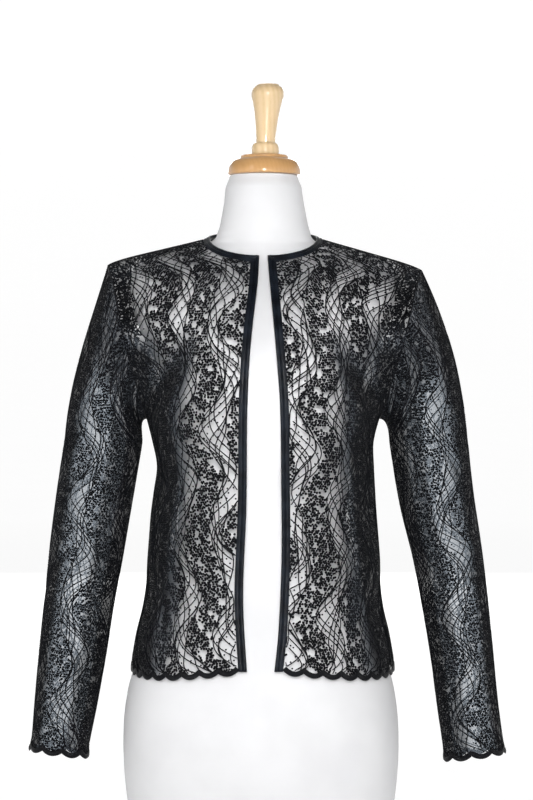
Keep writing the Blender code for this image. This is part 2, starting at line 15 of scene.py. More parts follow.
import bpy
import mathutils
import numpy as np
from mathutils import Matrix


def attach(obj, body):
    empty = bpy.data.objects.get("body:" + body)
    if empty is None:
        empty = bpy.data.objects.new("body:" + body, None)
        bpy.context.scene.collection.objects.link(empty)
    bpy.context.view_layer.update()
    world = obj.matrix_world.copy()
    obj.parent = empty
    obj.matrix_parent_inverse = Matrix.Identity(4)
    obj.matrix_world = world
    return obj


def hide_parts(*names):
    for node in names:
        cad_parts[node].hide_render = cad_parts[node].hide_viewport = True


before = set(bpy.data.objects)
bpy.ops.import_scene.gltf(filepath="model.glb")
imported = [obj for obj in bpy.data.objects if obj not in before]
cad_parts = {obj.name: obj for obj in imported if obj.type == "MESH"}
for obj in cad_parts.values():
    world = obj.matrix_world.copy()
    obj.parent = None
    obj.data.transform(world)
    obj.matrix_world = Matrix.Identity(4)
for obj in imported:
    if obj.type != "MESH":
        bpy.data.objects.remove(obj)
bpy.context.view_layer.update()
RIGHT, LEFT = -1, 1
SIDE_NAMES = {RIGHT: "right", LEFT: "left"}

# %% [markdown]
# ## Camera
#
# The photograph looks straight at the form from a little over half its height, from far enough away that the
# sides hardly converge. The cap's curved underside fixes the height of the eye, and the picture's own scale,
# 1.2 mm a pixel at the form's middle, fixes the lens.

# %% Camera
PICTURE_PIXELS_HIGH = 800
METRES_PER_PIXEL = 0.0012
EYE = (0.0042, -2.70, 0.5400)
SENSOR_MM = 36.0

camera_data = bpy.data.cameras.new("camera")
camera_data.sensor_width = SENSOR_MM
camera_data.lens = SENSOR_MM * -EYE[1] / (PICTURE_PIXELS_HIGH * METRES_PER_PIXEL)
camera = bpy.data.objects.new("camera", camera_data)
camera.location = EYE
camera.rotation_euler = (math.radians(90), 0, 0)
bpy.context.scene.collection.objects.link(camera)
bpy.context.scene.camera = camera
print("lens:", round(camera_data.lens, 1), "mm")

# %% [markdown]
# ## Shader arithmetic
#
# A material is easier to read as a formula than as a drawing of nodes. `Value` wraps one socket, and an
# expression such as `1 - mask * 0.3` adds the Math nodes that it needs.


# %% A socket that can be added, multiplied and compared
class Value:
    """One output socket of a node tree, with the arithmetic that turns an expression into Math nodes."""

    def __init__(self, tree, socket):
        self.tree, self.socket = tree, socket

    def node(self, kind, settings=None, output=0, **values):
        """Adds any other node: its settings first, then the values or links of its sockets.
        A socket is called by its name, or by i and its number."""
        made = self.tree.nodes.new(kind)
        for name, setting in (settings or {}).items():
            setattr(made, name, setting)
        for name, value in values.items():
            place = made.inputs[int(name[1:]) if name[1:].isdigit() else name]
            if isinstance(value, Value):
                self.tree.links.new(value.socket, place)
            else:
                place.default_value = value
        return Value(self.tree, made.outputs[output])

    def math(self, operation, *others):
        """Adds a Math node, with this value as its first input."""
        values = {f"i{number}": value for number, value in enumerate((self, *others))}
        return self.node("ShaderNodeMath", {"operation": operation}, **values)

    def __add__(self, other):
        return self.math("ADD", other)

    __radd__ = __add__

    def __mul__(self, other):
        return self.math("MULTIPLY", other)

    __rmul__ = __mul__

    def __sub__(self, other):
        return self.math("SUBTRACT", other)

    def __rsub__(self, other):
        return self * -1 + other

    def sin(self):
        return self.math("SINE")

    def abs(self):
        return self.math("ABSOLUTE")

    def max(self, other):
        return self.math("MAXIMUM", other)

    def ramp(self, low, high):
        """0 below low, 1 above high, and a soft step between them."""
        settings = {"interpolation_type": "SMOOTHSTEP"}
        return self.node("ShaderNodeMapRange", settings, i0=self, i1=low, i2=high, i3=0.0, i4=1.0)

    def mix(self, first, second):
        """A colour that goes from the first to the second as this value goes from 0 to 1."""
        return self.node("ShaderNodeMix", {"data_type": "RGBA"}, output=2, i0=self, i6=first, i7=second)

    def axes(self):
        """The X, Y and Z of a vector."""
        split = self.node("ShaderNodeSeparateXYZ", i0=self)
        return [Value(self.tree, socket) for socket in split.socket.node.outputs]


class Finish:
    """A new material with one Principled shader, and the places that its pattern can be read from."""

    def __init__(self, name, **constants):
        self.material = bpy.data.materials.new(name)
        self.material.use_nodes = True
        self.tree = self.material.node_tree
        self.shader = self.tree.nodes["Principled BSDF"]
        self.start = Value(self.tree, None)
        for socket, value in constants.items():
            self.shader.inputs[socket.replace("_", " ")].default_value = value

    def places(self, output="Object"):
        """Places on the piece: in metres from the origin, or its flat places as UV."""
        made = self.tree.nodes.new("ShaderNodeTexCoord")
        return Value(self.tree, made.outputs[output])

    def attribute(self, name):
        """A number that is kept with each point of the mesh."""
        return self.start.node("ShaderNodeAttribute", {"attribute_name": name}, output=2)

    def set(self, socket, value):
        """Links a value to one of the shader's sockets."""
        self.tree.links.new(value.socket, self.shader.inputs[socket])

    def bump(self, height, strength, distance):
        """Turns a pattern's height into a fine relief, at most this distance deep, in metres."""
        normal = self.start.node("ShaderNodeBump", None, Strength=strength, Distance=distance, Height=height)
        self.set("Normal", normal)


print("shader arithmetic ready")

# %% [markdown]
# ## The cloth's finishes
#
# The net is far too fine to model thread by thread, so its threads are a pattern in the sheet's own flat
# coordinates, in metres, and its sheerness is the material's alpha. Half-closed net is coloured as a haze of
# painted sheen, which is paler in the sleeves, where no white form lies behind it, and where it closes up it
# is black, as painted shade. Thread is matt, with a painted grey sheen in patches, and the satin of the
# binding has a dull blue-grey shine, painted into its colour in patches.

# %% Net, thread and satin
NET_CELL = 0.0013
BLACK_NET = (0.0026, 0.0031, 0.0043, 1.0)
BODY_NET_PAINTED_SHEEN = (0.040, 0.047, 0.056, 1.0)
SLEEVE_NET_PAINTED_SHEEN = (0.175, 0.200, 0.228, 1.0)
BLACK_THREAD = (0.002, 0.0022, 0.003, 1.0)
GREY_THREAD_PAINTED_SHEEN = (0.006, 0.0066, 0.0085, 1.0)
BLACK_SATIN = (0.0018, 0.0024, 0.004, 1.0)
BLUE_SATIN_PAINTED_SHEEN = (0.0072, 0.0098, 0.0145, 1.0)
OVERCAST_STITCH = 0.0007
SATIN_FLOAT = 0.0005
SATIN_PUCKER = 0.0031


def net_finish(name, haze, half_closed, closed):
    """Sheer net: two families of slanting threads, which close up as the sheet's own attribute of painted
    shade rises. Up to half-closed, the net is a blue-grey haze of painted sheen, and where its threads close
    up it is black, as painted shade."""
    finish = Finish(name, Roughness=0.6, Specular_IOR_Level=0.08, Sheen_Weight=0.02, Sheen_Roughness=0.4)
    u, v, _ = finish.places("UV").axes()
    right = ((u + v * 0.6) * (math.pi / NET_CELL)).sin().abs()
    left = ((u - v * 0.6) * (math.pi / NET_CELL)).sin().abs()
    thread = (1 - right).max(1 - left).ramp(0.55, 0.95)
    painted_shade_cover = finish.attribute("painted_shade_cover")
    # Painted sheen and shade: the colour goes from the paler haze to black, and the alpha closes up, as the
    # attribute of painted shade rises.
    finish.set("Base Color", painted_shade_cover.ramp(half_closed, closed).mix(haze, BLACK_NET))
    finish.set("Alpha", painted_shade_cover * (thread * 0.7 + 0.72))
    finish.bump(thread, 0.4, 0.0002)
    return finish.material


def thread_finish(name, pitch, roughness):
    """Embroidery thread: fine twisted filaments, with a painted sheen: a little greyer in random patches, as
    where they catch the light.
    """
    finish = Finish(name, Roughness=roughness, Specular_IOR_Level=0.08)
    place = finish.places()
    patches = finish.start.node("ShaderNodeTexNoise", None, Vector=place, Scale=420.0, Detail=3.0)
    x, y, z = place.axes()
    twist = ((x + y + z * 1.7) * (2 * math.pi / pitch)).sin() * 0.5 + 0.5
    # Painted sheen: random patches of the black thread are greyer.
    finish.set("Base Color", patches.ramp(0.35, 0.75).mix(BLACK_THREAD, GREY_THREAD_PAINTED_SHEEN))
    finish.set("Roughness", patches * 0.25 + (roughness - 0.12))
    finish.bump(twist * 0.5 + patches * 0.5, 0.6, 0.0002)
    return finish.material


def overcast_finish(name):
    """Thick satin stitches laid side by side across a cord, slanting a little."""
    finish = Finish(name, Roughness=0.42, Specular_IOR_Level=0.10)
    u, v, _ = finish.places("UV").axes()
    stitch = ((u + v * 0.35) * (2 * math.pi / OVERCAST_STITCH)).sin() * 0.5 + 0.5
    patches = finish.start.node("ShaderNodeTexNoise", None, Vector=finish.places(), Scale=300.0, Detail=2.0)
    # Painted sheen: along the stitches and in random patches the black thread turns to a greyer shine.
    finish.set("Base Color", (stitch * 0.6 + patches * 0.4).ramp(0.3, 0.9).mix(BLACK_THREAD, GREY_THREAD_PAINTED_SHEEN))
    finish.bump(stitch, 0.8, 0.00025)
    return finish.material


def satin_finish(name):
    """Folded satin: long fine floats of thread along the strip, and small puckers at the stitches."""
    finish = Finish(name, Roughness=0.34, Specular_IOR_Level=0.10)
    u, v, _ = finish.places("UV").axes()
    place = finish.places()
    patches = finish.start.node("ShaderNodeTexNoise", None, Vector=place, Scale=60.0, Detail=4.0)
    floats = (v * (2 * math.pi / SATIN_FLOAT)).sin() * 0.5 + 0.5
    pucker = (u * (2 * math.pi / SATIN_PUCKER)).sin() * 0.5 + 0.5
    # Painted sheen: in random patches the black satin turns to a blue-grey shine in its colour.
    finish.set("Base Color", patches.ramp(0.30, 0.72).mix(BLACK_SATIN, BLUE_SATIN_PAINTED_SHEEN))
    finish.set("Roughness", patches * 0.22 + 0.24)
    finish.bump(floats * 0.25 + pucker * 0.35 + patches * 0.6, 0.5, 0.0004)
    return finish.material


body_net = net_finish("sheer_body_net_painted_shade", BODY_NET_PAINTED_SHEEN, 0.60, 0.92)
sleeve_net = net_finish("sheer_sleeve_net", SLEEVE_NET_PAINTED_SHEEN, 0.52, 0.84)
knot_material = thread_finish("knot_thread", 0.0009, 0.5)
cord_material = thread_finish("cord_thread", 0.0007, 0.45)
overcast_material = overcast_finish("overcast_thread")
satin_material = satin_finish("bound_satin")
print("cloth finishes:", 6)

# %% [markdown]
# ## Meshes from whole arrays
#
# Every piece is a grid of points, or a section carried along a path. Both are arrays, so a piece with
# thousands of points is a few numpy expressions, and it goes into Blender in one step.


# %% Meshes from arrays
def put_mesh(name, points, faces, material):
    """Makes a smooth piece from points and a list of face arrays, each with its own number of corners."""
    mesh = bpy.data.meshes.new(name)
    mesh.vertices.add(len(points))
    mesh.vertices.foreach_set("co", np.asarray(points, np.float32).ravel())
    corners = np.concatenate([np.asarray(group).ravel() for group in faces])
    sizes = np.concatenate([np.full(len(group), np.shape(group)[1]) for group in faces])
    mesh.loops.add(len(corners))
    mesh.loops.foreach_set("vertex_index", corners.astype(np.int32))
    mesh.polygons.add(len(sizes))
    mesh.polygons.foreach_set("loop_start", np.concatenate([[0], np.cumsum(sizes)[:-1]]).astype(np.int32))
    mesh.update(calc_edges=True)
    mesh.polygons.foreach_set("use_smooth", np.ones(len(sizes), bool))
    mesh.materials.append(material)
    made = bpy.data.objects.new(name, mesh)
    bpy.context.scene.collection.objects.link(made)
    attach(made, "root")
    print(f"{name}: {len(points)} points, {int((sizes - 2).sum())} triangles")
    return made


def put_uv(made, u, v):
    """Gives every face corner the flat place of its point, in metres."""
    corners = np.empty(len(made.data.loops), np.int32)
    made.data.loops.foreach_get("vertex_index", corners)
    layer = made.data.uv_layers.new(name="flat")
    layer.data.foreach_set("uv", np.stack([u[corners], v[corners]], axis=1).astype(np.float32).ravel())


def grid_faces(rows, columns, around=False):
    """The quads of a grid of points, row by row; around also joins the last column to the first."""
    j, i = np.meshgrid(np.arange(rows - 1), np.arange(columns if around else columns - 1), indexing="ij")
    k = (i + 1) % columns
    quads = [j * columns + i, j * columns + k, (j + 1) * columns + k, (j + 1) * columns + i]
    return np.stack(quads, axis=-1).reshape(-1, 4)


def tube_faces(rings, sides, closed=False):
    """Quads round a stack of rings. A closed tube's last ring meets its first; an open one has end faces."""
    quads = grid_faces(rings + closed, sides, around=True) % (rings * sides)
    ends = [np.arange(sides)[::-1][None], np.arange((rings - 1) * sides, rings * sides)[None]]
    return [quads] if closed else [quads, *ends]


def unit(vectors):
    """Vectors of length 1 in the same directions."""
    return vectors / np.maximum(np.linalg.norm(vectors, axis=-1, keepdims=True), 1e-12)


def along(line):
    """How far along a line each of its points is."""
    steps = np.linalg.norm(np.diff(line, axis=0), axis=1)
    return np.concatenate([[0.0], np.cumsum(steps)])


def carried(name, path, across, up, section, material, closed=False):
    """A section carried along a path: at each path point its pairs go that far across and that far up."""
    section = np.broadcast_to(section, (len(path), *section.shape[-2:]))
    points = path[:, None] + across[:, None] * section[..., :1] + up[:, None] * section[..., 1:]
    if (np.cross(across, up) * (np.roll(path, -1, axis=0) - path))[:-1].sum() < 0:
        points, section = points[:, ::-1], section[:, ::-1]
    rings, count = points.shape[:2]
    made = put_mesh(name, points.reshape(-1, 3), tube_faces(rings, count, closed), material)
    put_uv(made, np.repeat(along(path), count), section[..., 0].ravel())
    return made


def oval(half_width, half_height, steps):
    """An oval section, counter-clockwise."""
    turn = 2 * np.pi * np.arange(steps) / steps
    return np.stack([half_width * np.cos(turn), half_height * np.sin(turn)], axis=1)


# %% [markdown]
# ## The cut of the jacket
#
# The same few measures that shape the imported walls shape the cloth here: the line of each free edge, the
# side seams, the armholes and the sleeves, each a short table against height. A row of the body runs from the
# front edge, or the centre of the back, to the side seam or the armhole, as a curve pulled by two handles.

# %% Measures of the jacket
FRONT_HEM_CUSP_Z = 0.2295
SIDE_HEM_CUSP_Z = 0.2215
BINDING_END_Z = 0.2285
FRONT_HEM_SAG = 0.0060
SCALLOP_DROP = 0.0055
SCALLOP_POWER = 0.8
BORDER_DEPTH = 0.012
BORDER_FLARE = 0.10
ARMPIT_Z = 0.5180
NECK_CORNER_Z = 0.7085
BACK_NECK_Z = 0.7460
NECK_POINT = (0.0640, 0.0060, 0.7345)
SHOULDER_POINT = {RIGHT: (0.1855, 0.0120, 0.7025), LEFT: (0.1900, 0.0120, 0.6960)}
FRONT_EDGE = {
    "z": (0.2200, 0.2650, 0.3110, 0.3570, 0.4030, 0.4480, 0.4940, 0.5400, 0.5860, 0.6320, 0.6730, 0.7085),
    "right": (0.0175, 0.0206, 0.0226, 0.0214, 0.0192, 0.0183, 0.0181, 0.0173, 0.0150, 0.0110, 0.0062, 0.0042),
    "left": (0.0120, 0.0172, 0.0198, 0.0214, 0.0215, 0.0209, 0.0205, 0.0193, 0.0160, 0.0120, 0.0082, 0.0054),
    "depth": (0.1235, 0.1200, 0.1180, 0.1185, 0.1215, 0.1260, 0.1300, 0.1330, 0.1315, 0.1200, 0.0990, 0.0700),
}
BACK = {
    "z": (0.2200, 0.2650, 0.3000, 0.3500, 0.4200, 0.4650, 0.5180, 0.6200, 0.6900, 0.7460),
    "depth": (0.1280, 0.1215, 0.1175, 0.1130, 0.1110, 0.1125, 0.1170, 0.1160, 0.0960, 0.0660),
}
SIDE_SEAM = {
    "z": (0.2150, 0.2400, 0.2700, 0.3000, 0.3500, 0.4200, 0.4600, 0.4800, 0.4980, 0.5180),
    "right": (0.1595, 0.1555, 0.1498, 0.1422, 0.1382, 0.1325, 0.1268, 0.1292, 0.1350, 0.1395),
    "left": (0.1585, 0.1550, 0.1492, 0.1422, 0.1400, 0.1348, 0.1328, 0.1318, 0.1335, 0.1395),
    "depth": (0.0030, 0.0030, 0.0025, 0.0020, 0.0020, 0.0025, 0.0030, 0.0040, 0.0050, 0.0060),
}
ARMHOLE_LINE = {
    "z": (0.5180, 0.5580, 0.6000, 0.6480, 0.6850, 0.7040),
    "out": (0.1395, 0.1495, 0.1610, 0.1715, 0.1800, 0.1870),
}
ARMHOLE_REACH = {"front": -0.060, "back": 0.064}
NECK_MIDDLE_Y = 0.0060
NECK_REACH = {"front": -0.0760, "back": 0.0600}
SHOULDER_SLOPE = math.radians(12.0)
NECK_SLOPE = {"front": math.radians(58.0), "back": math.radians(52.0)}
SLEEVE = {
    "z": (0.4920, 0.4200, 0.3600, 0.3000, 0.2400, 0.1800, 0.1270, 0.1100),
    "right_out": (0.1912, 0.2024, 0.2112, 0.2195, 0.2270, 0.2347, 0.2417, 0.2438),
    "left_out": (0.1984, 0.2083, 0.2200, 0.2292, 0.2369, 0.2433, 0.2503, 0.2524),
    "right_width": (0.0460, 0.0452, 0.0438, 0.0412, 0.0396, 0.0367, 0.0336, 0.0334),
    "left_width": (0.0462, 0.0442, 0.0413, 0.0391, 0.0370, 0.0358, 0.0353, 0.0352),
    "depth": (0.0560, 0.0530, 0.0505, 0.0480, 0.0445, 0.0405, 0.0370, 0.0362),
    "y": (0.0010, -0.0030, -0.0060, -0.0100, -0.0150, -0.0210, -0.0260, -0.0275),
}
HEAD_SPREAD = {RIGHT: 0.26, LEFT: 0.42}
CUFF_CUSP_Z = {RIGHT: 0.1240, LEFT: 0.1205}
FRONT_RIM_WIDTH = 0.0100
NECK_RIM_WIDTH = 0.0085
HEM_SCALLOPS = {"front": 9, "back": 18}
CUFF_SCALLOPS = 9
MIDDLE_PULL = 0.42
SIDE_PULL = 0.44
SHOULDER_PULL = 0.14
HEAD_PULL = 0.36
SIDE_WAY = (0.05, 1.00, 0.00)
CHEST_WAY = (0.80, 0.50, -0.12)
CROWN_WAY = (0.84, 0.00, -0.54)
LOWER_ROWS = 10
EDGE_ROWS = 7
NECK_ROWS = 6
CORNER_ROW = LOWER_ROWS + EDGE_ROWS
ARMHOLE_ROWS = EDGE_ROWS + NECK_ROWS


# %% Curves through the measures
def cubic(a, b, start, end, f):
    """A cubic piece from a to b that starts and ends at the slopes start and end: a times (1 + 2f)(1 - f)
    squared, b times (3 - 2f) f squared, and the two slopes' own shares."""
    level = (1 + 2 * f) * (1 - f) ** 2 * a + f * f * (3 - 2 * f) * b
    return level + f * (1 - f) * ((1 - f) * start - f * end)


def column(table, key):
    """A smooth curve through one column of a table against its heights, in cubic pieces that share slopes."""
    order = np.argsort(table["z"])
    x, y = np.array(table["z"])[order], np.array(table[key])[order]
    slope = np.gradient(y, x)

    def value(at):
        k = np.clip(np.searchsorted(x, at) - 1, 0, len(x) - 2)
        step = x[k + 1] - x[k]
        f = np.clip((at - x[k]) / step, 0.0, 1.0)
        return cubic(y[k], y[k + 1], step * slope[k], step * slope[k + 1], f)

    return value


def blend(a, b, f):
    """From a to b as f goes from 0 to 1."""
    return a + (b - a) * f


def ease(f):
    """0 to 1 with a soft start and end: 3 f squared less 2 f cubed."""
    f = np.clip(f, 0.0, 1.0)
    return f * f * (3 - 2 * f)


def curve(start, end, first_handle, last_handle, f):
    """Points of the cubic curve between two ends, pulled by two handles, at the shares f."""
    f = np.asarray(f)[..., None]
    g = 1 - f
    return start * g**3 + first_handle * 3 * g * g * f + last_handle * 3 * g * f * f + end * f**3


front_depth = column(FRONT_EDGE, "depth")
edge_distance = {side: column(FRONT_EDGE, SIDE_NAMES[side]) for side in (RIGHT, LEFT)}
back_depth = column(BACK, "depth")
side_half = {side: column(SIDE_SEAM, SIDE_NAMES[side]) for side in (RIGHT, LEFT)}
side_depth = column(SIDE_SEAM, "depth")
armhole_out = column(ARMHOLE_LINE, "out")
sleeve_column = {key: column(SLEEVE, key) for key in SLEEVE if key != "z"}


def neckline(side, turn, part):
    """A point of the neckline, from the middle (0) to the shoulder (1), and the way down into the cloth."""
    start = 0.0 if part == "back" else edge_distance[side](NECK_CORNER_Z) / NECK_POINT[0]
    angle = blend(math.asin(start), math.pi / 2, turn)
    low = BACK_NECK_Z if part == "back" else NECK_CORNER_Z
    across, ahead = math.sin(angle), math.cos(angle)
    point = (side * NECK_POINT[0] * across, NECK_MIDDLE_Y + NECK_REACH[part] * ahead,
             blend(low, NECK_POINT[2], 1 - ahead))
    slope = blend(SHOULDER_SLOPE, NECK_SLOPE[part], ahead)
    outward = np.array([side * across, math.copysign(ahead, NECK_REACH[part]), 0.0])
    return np.array(point), outward * math.cos(slope) - np.array([0.0, 0.0, math.sin(slope)])


def armhole(side, turn, part):
    """Points of the armhole seam, from the armpit (turn 0) to the shoulder point (turn 1)."""
    angle = np.pi * (1 - turn)
    top = SHOULDER_POINT[side][2]
    z = (top + ARMPIT_Z) / 2 + (top - ARMPIT_Z) / 2 * np.cos(angle)
    y = blend(side_depth(ARMPIT_Z), SHOULDER_POINT[side][1], turn) + ARMHOLE_REACH[part] * np.sin(angle)
    height = blend(ARMPIT_Z, SHOULDER_POINT[RIGHT][2], (z - ARMPIT_Z) / (top - ARMPIT_Z))
    out = armhole_out(height) + (SHOULDER_POINT[side][0] - SHOULDER_POINT[RIGHT][0]) * turn
    return np.stack([side * out, y, z], axis=-1)


def body_row(side, row, part, shares):
    """One row of a front or of half the back: the garment's edge, then the cloth from there to its seam."""
    top_z, low = (BACK_NECK_Z, SIDE_HEM_CUSP_Z) if part == "back" else (NECK_CORNER_Z, FRONT_HEM_CUSP_Z)
    if row <= LOWER_ROWS:
        z = blend(low + BORDER_DEPTH, ARMPIT_Z, row / LOWER_ROWS)
    else:
        z = blend(ARMPIT_Z, top_z, min((row - LOWER_ROWS) / EDGE_ROWS, 1.0))
    start_way = np.array([float(side), 0.0, 0.0])
    if row < CORNER_ROW:
        x, y = (0.0, back_depth(z)) if part == "back" else (side * edge_distance[side](z), -front_depth(z))
        rim = np.array([x, y, z])
        inner = rim + start_way * FRONT_RIM_WIDTH
    else:
        turn = (row - CORNER_ROW) / NECK_ROWS
        rim, down = neckline(side, turn, part)
        inner = rim + down * NECK_RIM_WIDTH
        if row == CORNER_ROW and part == "front":
            inner = inner + start_way * FRONT_RIM_WIDTH
        seam_run = np.subtract(SHOULDER_POINT[side], NECK_POINT) * (side, 1, 1)
        start_way = unit(blend(start_way, unit(seam_run), turn))
    mirror = (side, -1 if part == "back" else 1, 1)
    ways = [np.multiply(way, mirror) for way in (SIDE_WAY, CHEST_WAY, CROWN_WAY)]
    climb = (row - LOWER_ROWS) / ARMHOLE_ROWS
    if row <= LOWER_ROWS:
        side_z = blend(SIDE_HEM_CUSP_Z + BORDER_DEPTH, ARMPIT_Z, row / LOWER_ROWS)
        end, end_way = np.array([side * side_half[side](side_z), side_depth(side_z), side_z]), ways[0]
    else:
        end = armhole(side, climb, part)
        end_way = blend(blend(ways[0], ways[1], ease(climb / 0.4)), ways[2], ease((climb - 0.45) / 0.5))
    chord = np.linalg.norm(end - inner)
    first = inner + start_way * chord * MIDDLE_PULL
    last = end - unit(end_way) * chord * blend(SIDE_PULL, SHOULDER_PULL, ease(climb))
    if part == "front":
        sag = FRONT_HEM_SAG * 4 / 3 * max(1 - row / LOWER_ROWS, 0.0)
        first[2] -= sag
        last[2] -= sag
    return np.vstack([rim[None], curve(inner, end, first, last, shares)])


def between_rows(rows, steps, shares):
    """Finer rows by cubic pieces. The edge turns sharply at the corner row, so slopes there are one-sided,
    and that fades out across the cloth."""
    below = np.gradient(rows, axis=0)
    above = below.copy()
    kink = np.concatenate([[1.0], (1 - shares) ** 3])[:, None]
    below[CORNER_ROW] = blend(below[CORNER_ROW], rows[CORNER_ROW] - rows[CORNER_ROW - 1], kink)
    above[CORNER_ROW] = blend(above[CORNER_ROW], rows[CORNER_ROW + 1] - rows[CORNER_ROW], kink)
    f = (np.arange(steps) / steps)[None, :, None, None]
    fine = cubic(rows[:-1, None], rows[1:, None], above[:-1, None], below[1:, None], f)
    return np.vstack([fine.reshape(-1, *rows.shape[1:]), rows[-1:]])


print("chest, side to side:", round(side_half[RIGHT](ARMPIT_Z) + side_half[LEFT](ARMPIT_Z), 3), "m")

# %% [markdown]
# ## Grids, and each point's place on the flat cloth
#
# Lace is drawn flat and then sewn, so its pattern has to know where each point of the hanging cloth lay on
# the flat piece. Across, that is the distance along the row. Upwards it is the distance from the row below,
# measured square to the row. Both are in metres, and they are also the sheet's UV map.


# %% Flat places of a grid's points
def flat_places(points, zero_row, zero_column, start=0.0):
    """How far across and how far up the flat cloth each grid point lay, from the zero row and column."""
    steps = np.linalg.norm(np.diff(points, axis=1), axis=-1)
    run = np.concatenate([np.zeros((len(points), 1)), np.cumsum(steps, axis=1)], axis=1)
    way = unit(np.gradient(points, axis=1))
    rise = np.diff(points, axis=0)
    slide = (rise * unit(way[1:] + way[:-1])).sum(axis=-1)
    climb = np.sqrt(np.maximum((rise**2).sum(axis=-1) - slide**2, 1e-12))
    up = np.concatenate([np.zeros((1, points.shape[1])), np.cumsum(climb, axis=0)])
    base = np.concatenate([[0.0], np.cumsum(slide[:, zero_column])])
    base = base - base[zero_row] + start
    return base[:, None] + run - run[:, zero_column, None], up - up[zero_row]


def creased(across, up, creases):
    """Height of the listed folds: each a ridge or trough, a bell across and a fading swell along."""
    height = np.zeros_like(across)
    for s, t, lean, length, width, rise in creases:
        angle = math.radians(lean)
        far = (across - s) * math.sin(angle) + (up - t) * math.cos(angle)
        off = (across - s) * math.cos(angle) - (up - t) * math.sin(angle)
        swell = np.cos(np.clip(far / length, -1, 1) * np.pi / 2) ** 2
        height += rise * swell * np.exp(-((off / width) ** 2))
    return height


COARSE_STEP = 4
SEARCH_PARTS = 24
NEWTON_STEPS = 16
LONGEST_STEP = 9
CLOSE_ENOUGH = 0.0003


class Leaf:
    """A rectangular grid of one piece of cloth: points, outward normals and flat places."""

    def __init__(self, points, middle, across, up, creases=()):
        self.across, self.up = across, up
        self.turned = 1.0
        normals = self.find_normals(points)
        self.turned = 1.0 if (normals * (points - middle)).sum() > 0 else -1.0
        self.points = points + self.find_normals(points) * creased(across, up, creases)[..., None]
        self.normals = self.find_normals(self.points)

    def find_normals(self, points):
        """The cross product of the ways along a row and up a column, made unit and turned outwards."""
        cross = np.cross(np.gradient(points, axis=1), np.gradient(points, axis=0))
        return unit(cross) * self.turned

    def cell(self, field, i, j):
        """A grid field's values at the corners of the cell of row i and column j."""
        a = np.clip(i.astype(int), 0, field.shape[0] - 2)
        b = np.clip(j.astype(int), 0, field.shape[1] - 2)
        f, g = i - a, j - b
        if field.ndim == 3:
            f, g = f[:, None], g[:, None]
        return field[a, b], field[a, b + 1], field[a + 1, b], field[a + 1, b + 1], f, g

    def sample(self, field, i, j):
        """Bilinear value of a grid field at the fractional row i and column j."""
        low, low_next, high, high_next, f, g = self.cell(field, i, j)
        return blend(blend(low, low_next, g), blend(high, high_next, g), f)

    def growth(self, field, i, j):
        """How fast the field grows there from row to row, and from column to column."""
        low, low_next, high, high_next, f, g = self.cell(field, i, j)
        return blend(high - low, high_next - low_next, g), blend(low_next - low, high_next - high, f)

    def locate(self, s, t):
        """Finds the rows and columns of flat places: the nearest point of a coarse grid, then Newton steps.
        It also says which places lie on the piece."""
        coarse = [field[::COARSE_STEP, ::COARSE_STEP] for field in (self.across, self.up)]
        nearest = []
        for part_s, part_t in zip(np.array_split(s, SEARCH_PARTS), np.array_split(t, SEARCH_PARTS)):
            away = (part_s[:, None] - coarse[0].ravel()) ** 2 + (part_t[:, None] - coarse[1].ravel()) ** 2
            nearest.append(away.argmin(axis=1))
        place = np.divmod(np.concatenate(nearest), coarse[0].shape[1])
        i, j = (place[0] * float(COARSE_STEP), place[1] * float(COARSE_STEP))
        last_row, last_column = np.subtract(self.across.shape, 1)
        for _ in range(NEWTON_STEPS):
            miss_s = s - self.sample(self.across, i, j)
            miss_t = t - self.sample(self.up, i, j)
            s_i, s_j = self.growth(self.across, i, j)
            t_i, t_j = self.growth(self.up, i, j)
            whole = s_j * t_i - s_i * t_j
            whole = np.where(np.abs(whole) < 1e-9, 1e-9, whole)
            step_i = np.clip((s_j * miss_t - t_j * miss_s) / whole, -LONGEST_STEP, LONGEST_STEP)
            step_j = np.clip((t_i * miss_s - s_i * miss_t) / whole, -LONGEST_STEP, LONGEST_STEP)
            i, j = np.clip(i + step_i, 0, last_row), np.clip(j + step_j, 0, last_column)
        miss = np.hypot(s - self.sample(self.across, i, j), t - self.sample(self.up, i, j))
        return i, j, miss < CLOSE_ENOUGH

    def place(self, s, t):
        """Points and normals of the flat places that lie on this leaf, and which ones those are."""
        i, j, found = self.locate(s, t)
        return self.sample(self.points, i, j), unit(self.sample(self.normals, i, j)), found


# %% The body's grids
SHARES = np.linspace(0.0, 1.0, 73)
ROW_STEPS = 6
BORDER_STEPS = 5
EDGE_CORD_HALF = 0.0031
EDGE_CORD_THICK = 0.0011
DOWN = np.array([0.0, 0.0, -1.0])
LEVEL = np.array([1.0, 1.0, 0.0])


def share_along(line):
    """How far along a line each of its points is, as a share of the whole line."""
    return along(line) / along(line)[-1]


def border_reach(share, out, run, scallops):
    """How far the border goes from the places at these shares of a hem line: a set depth, and round lobes
    between the cusps. It runs on as the cloth does, flared a little outwards."""
    drop = BORDER_DEPTH + SCALLOP_DROP * np.abs(np.sin(np.pi * scallops * share)) ** SCALLOP_POWER
    return unit(run + out * BORDER_FLARE) * (drop - EDGE_CORD_HALF)[:, None]


def level_outward(line, sign):
    """The level direction square to a line, turned to its outer side."""
    run = np.gradient(line, axis=0)
    return unit(np.stack([run[:, 1], -run[:, 0], np.zeros(len(line))], axis=1)) * sign


def with_border(cloth, reach):
    """The grid, with the border's rows added below its first row."""
    shares = 1 - np.arange(BORDER_STEPS) / BORDER_STEPS
    return np.vstack([cloth[0] + reach * shares[:, None, None], cloth])


def body_grid(side, part):
    """A front or half the back: its rows from the hem to the neck, and finer rows between them."""
    rows = [body_row(side, row, part, SHARES) for row in range(CORNER_ROW + NECK_ROWS + 1)]
    return between_rows(np.array(rows), ROW_STEPS, SHARES)


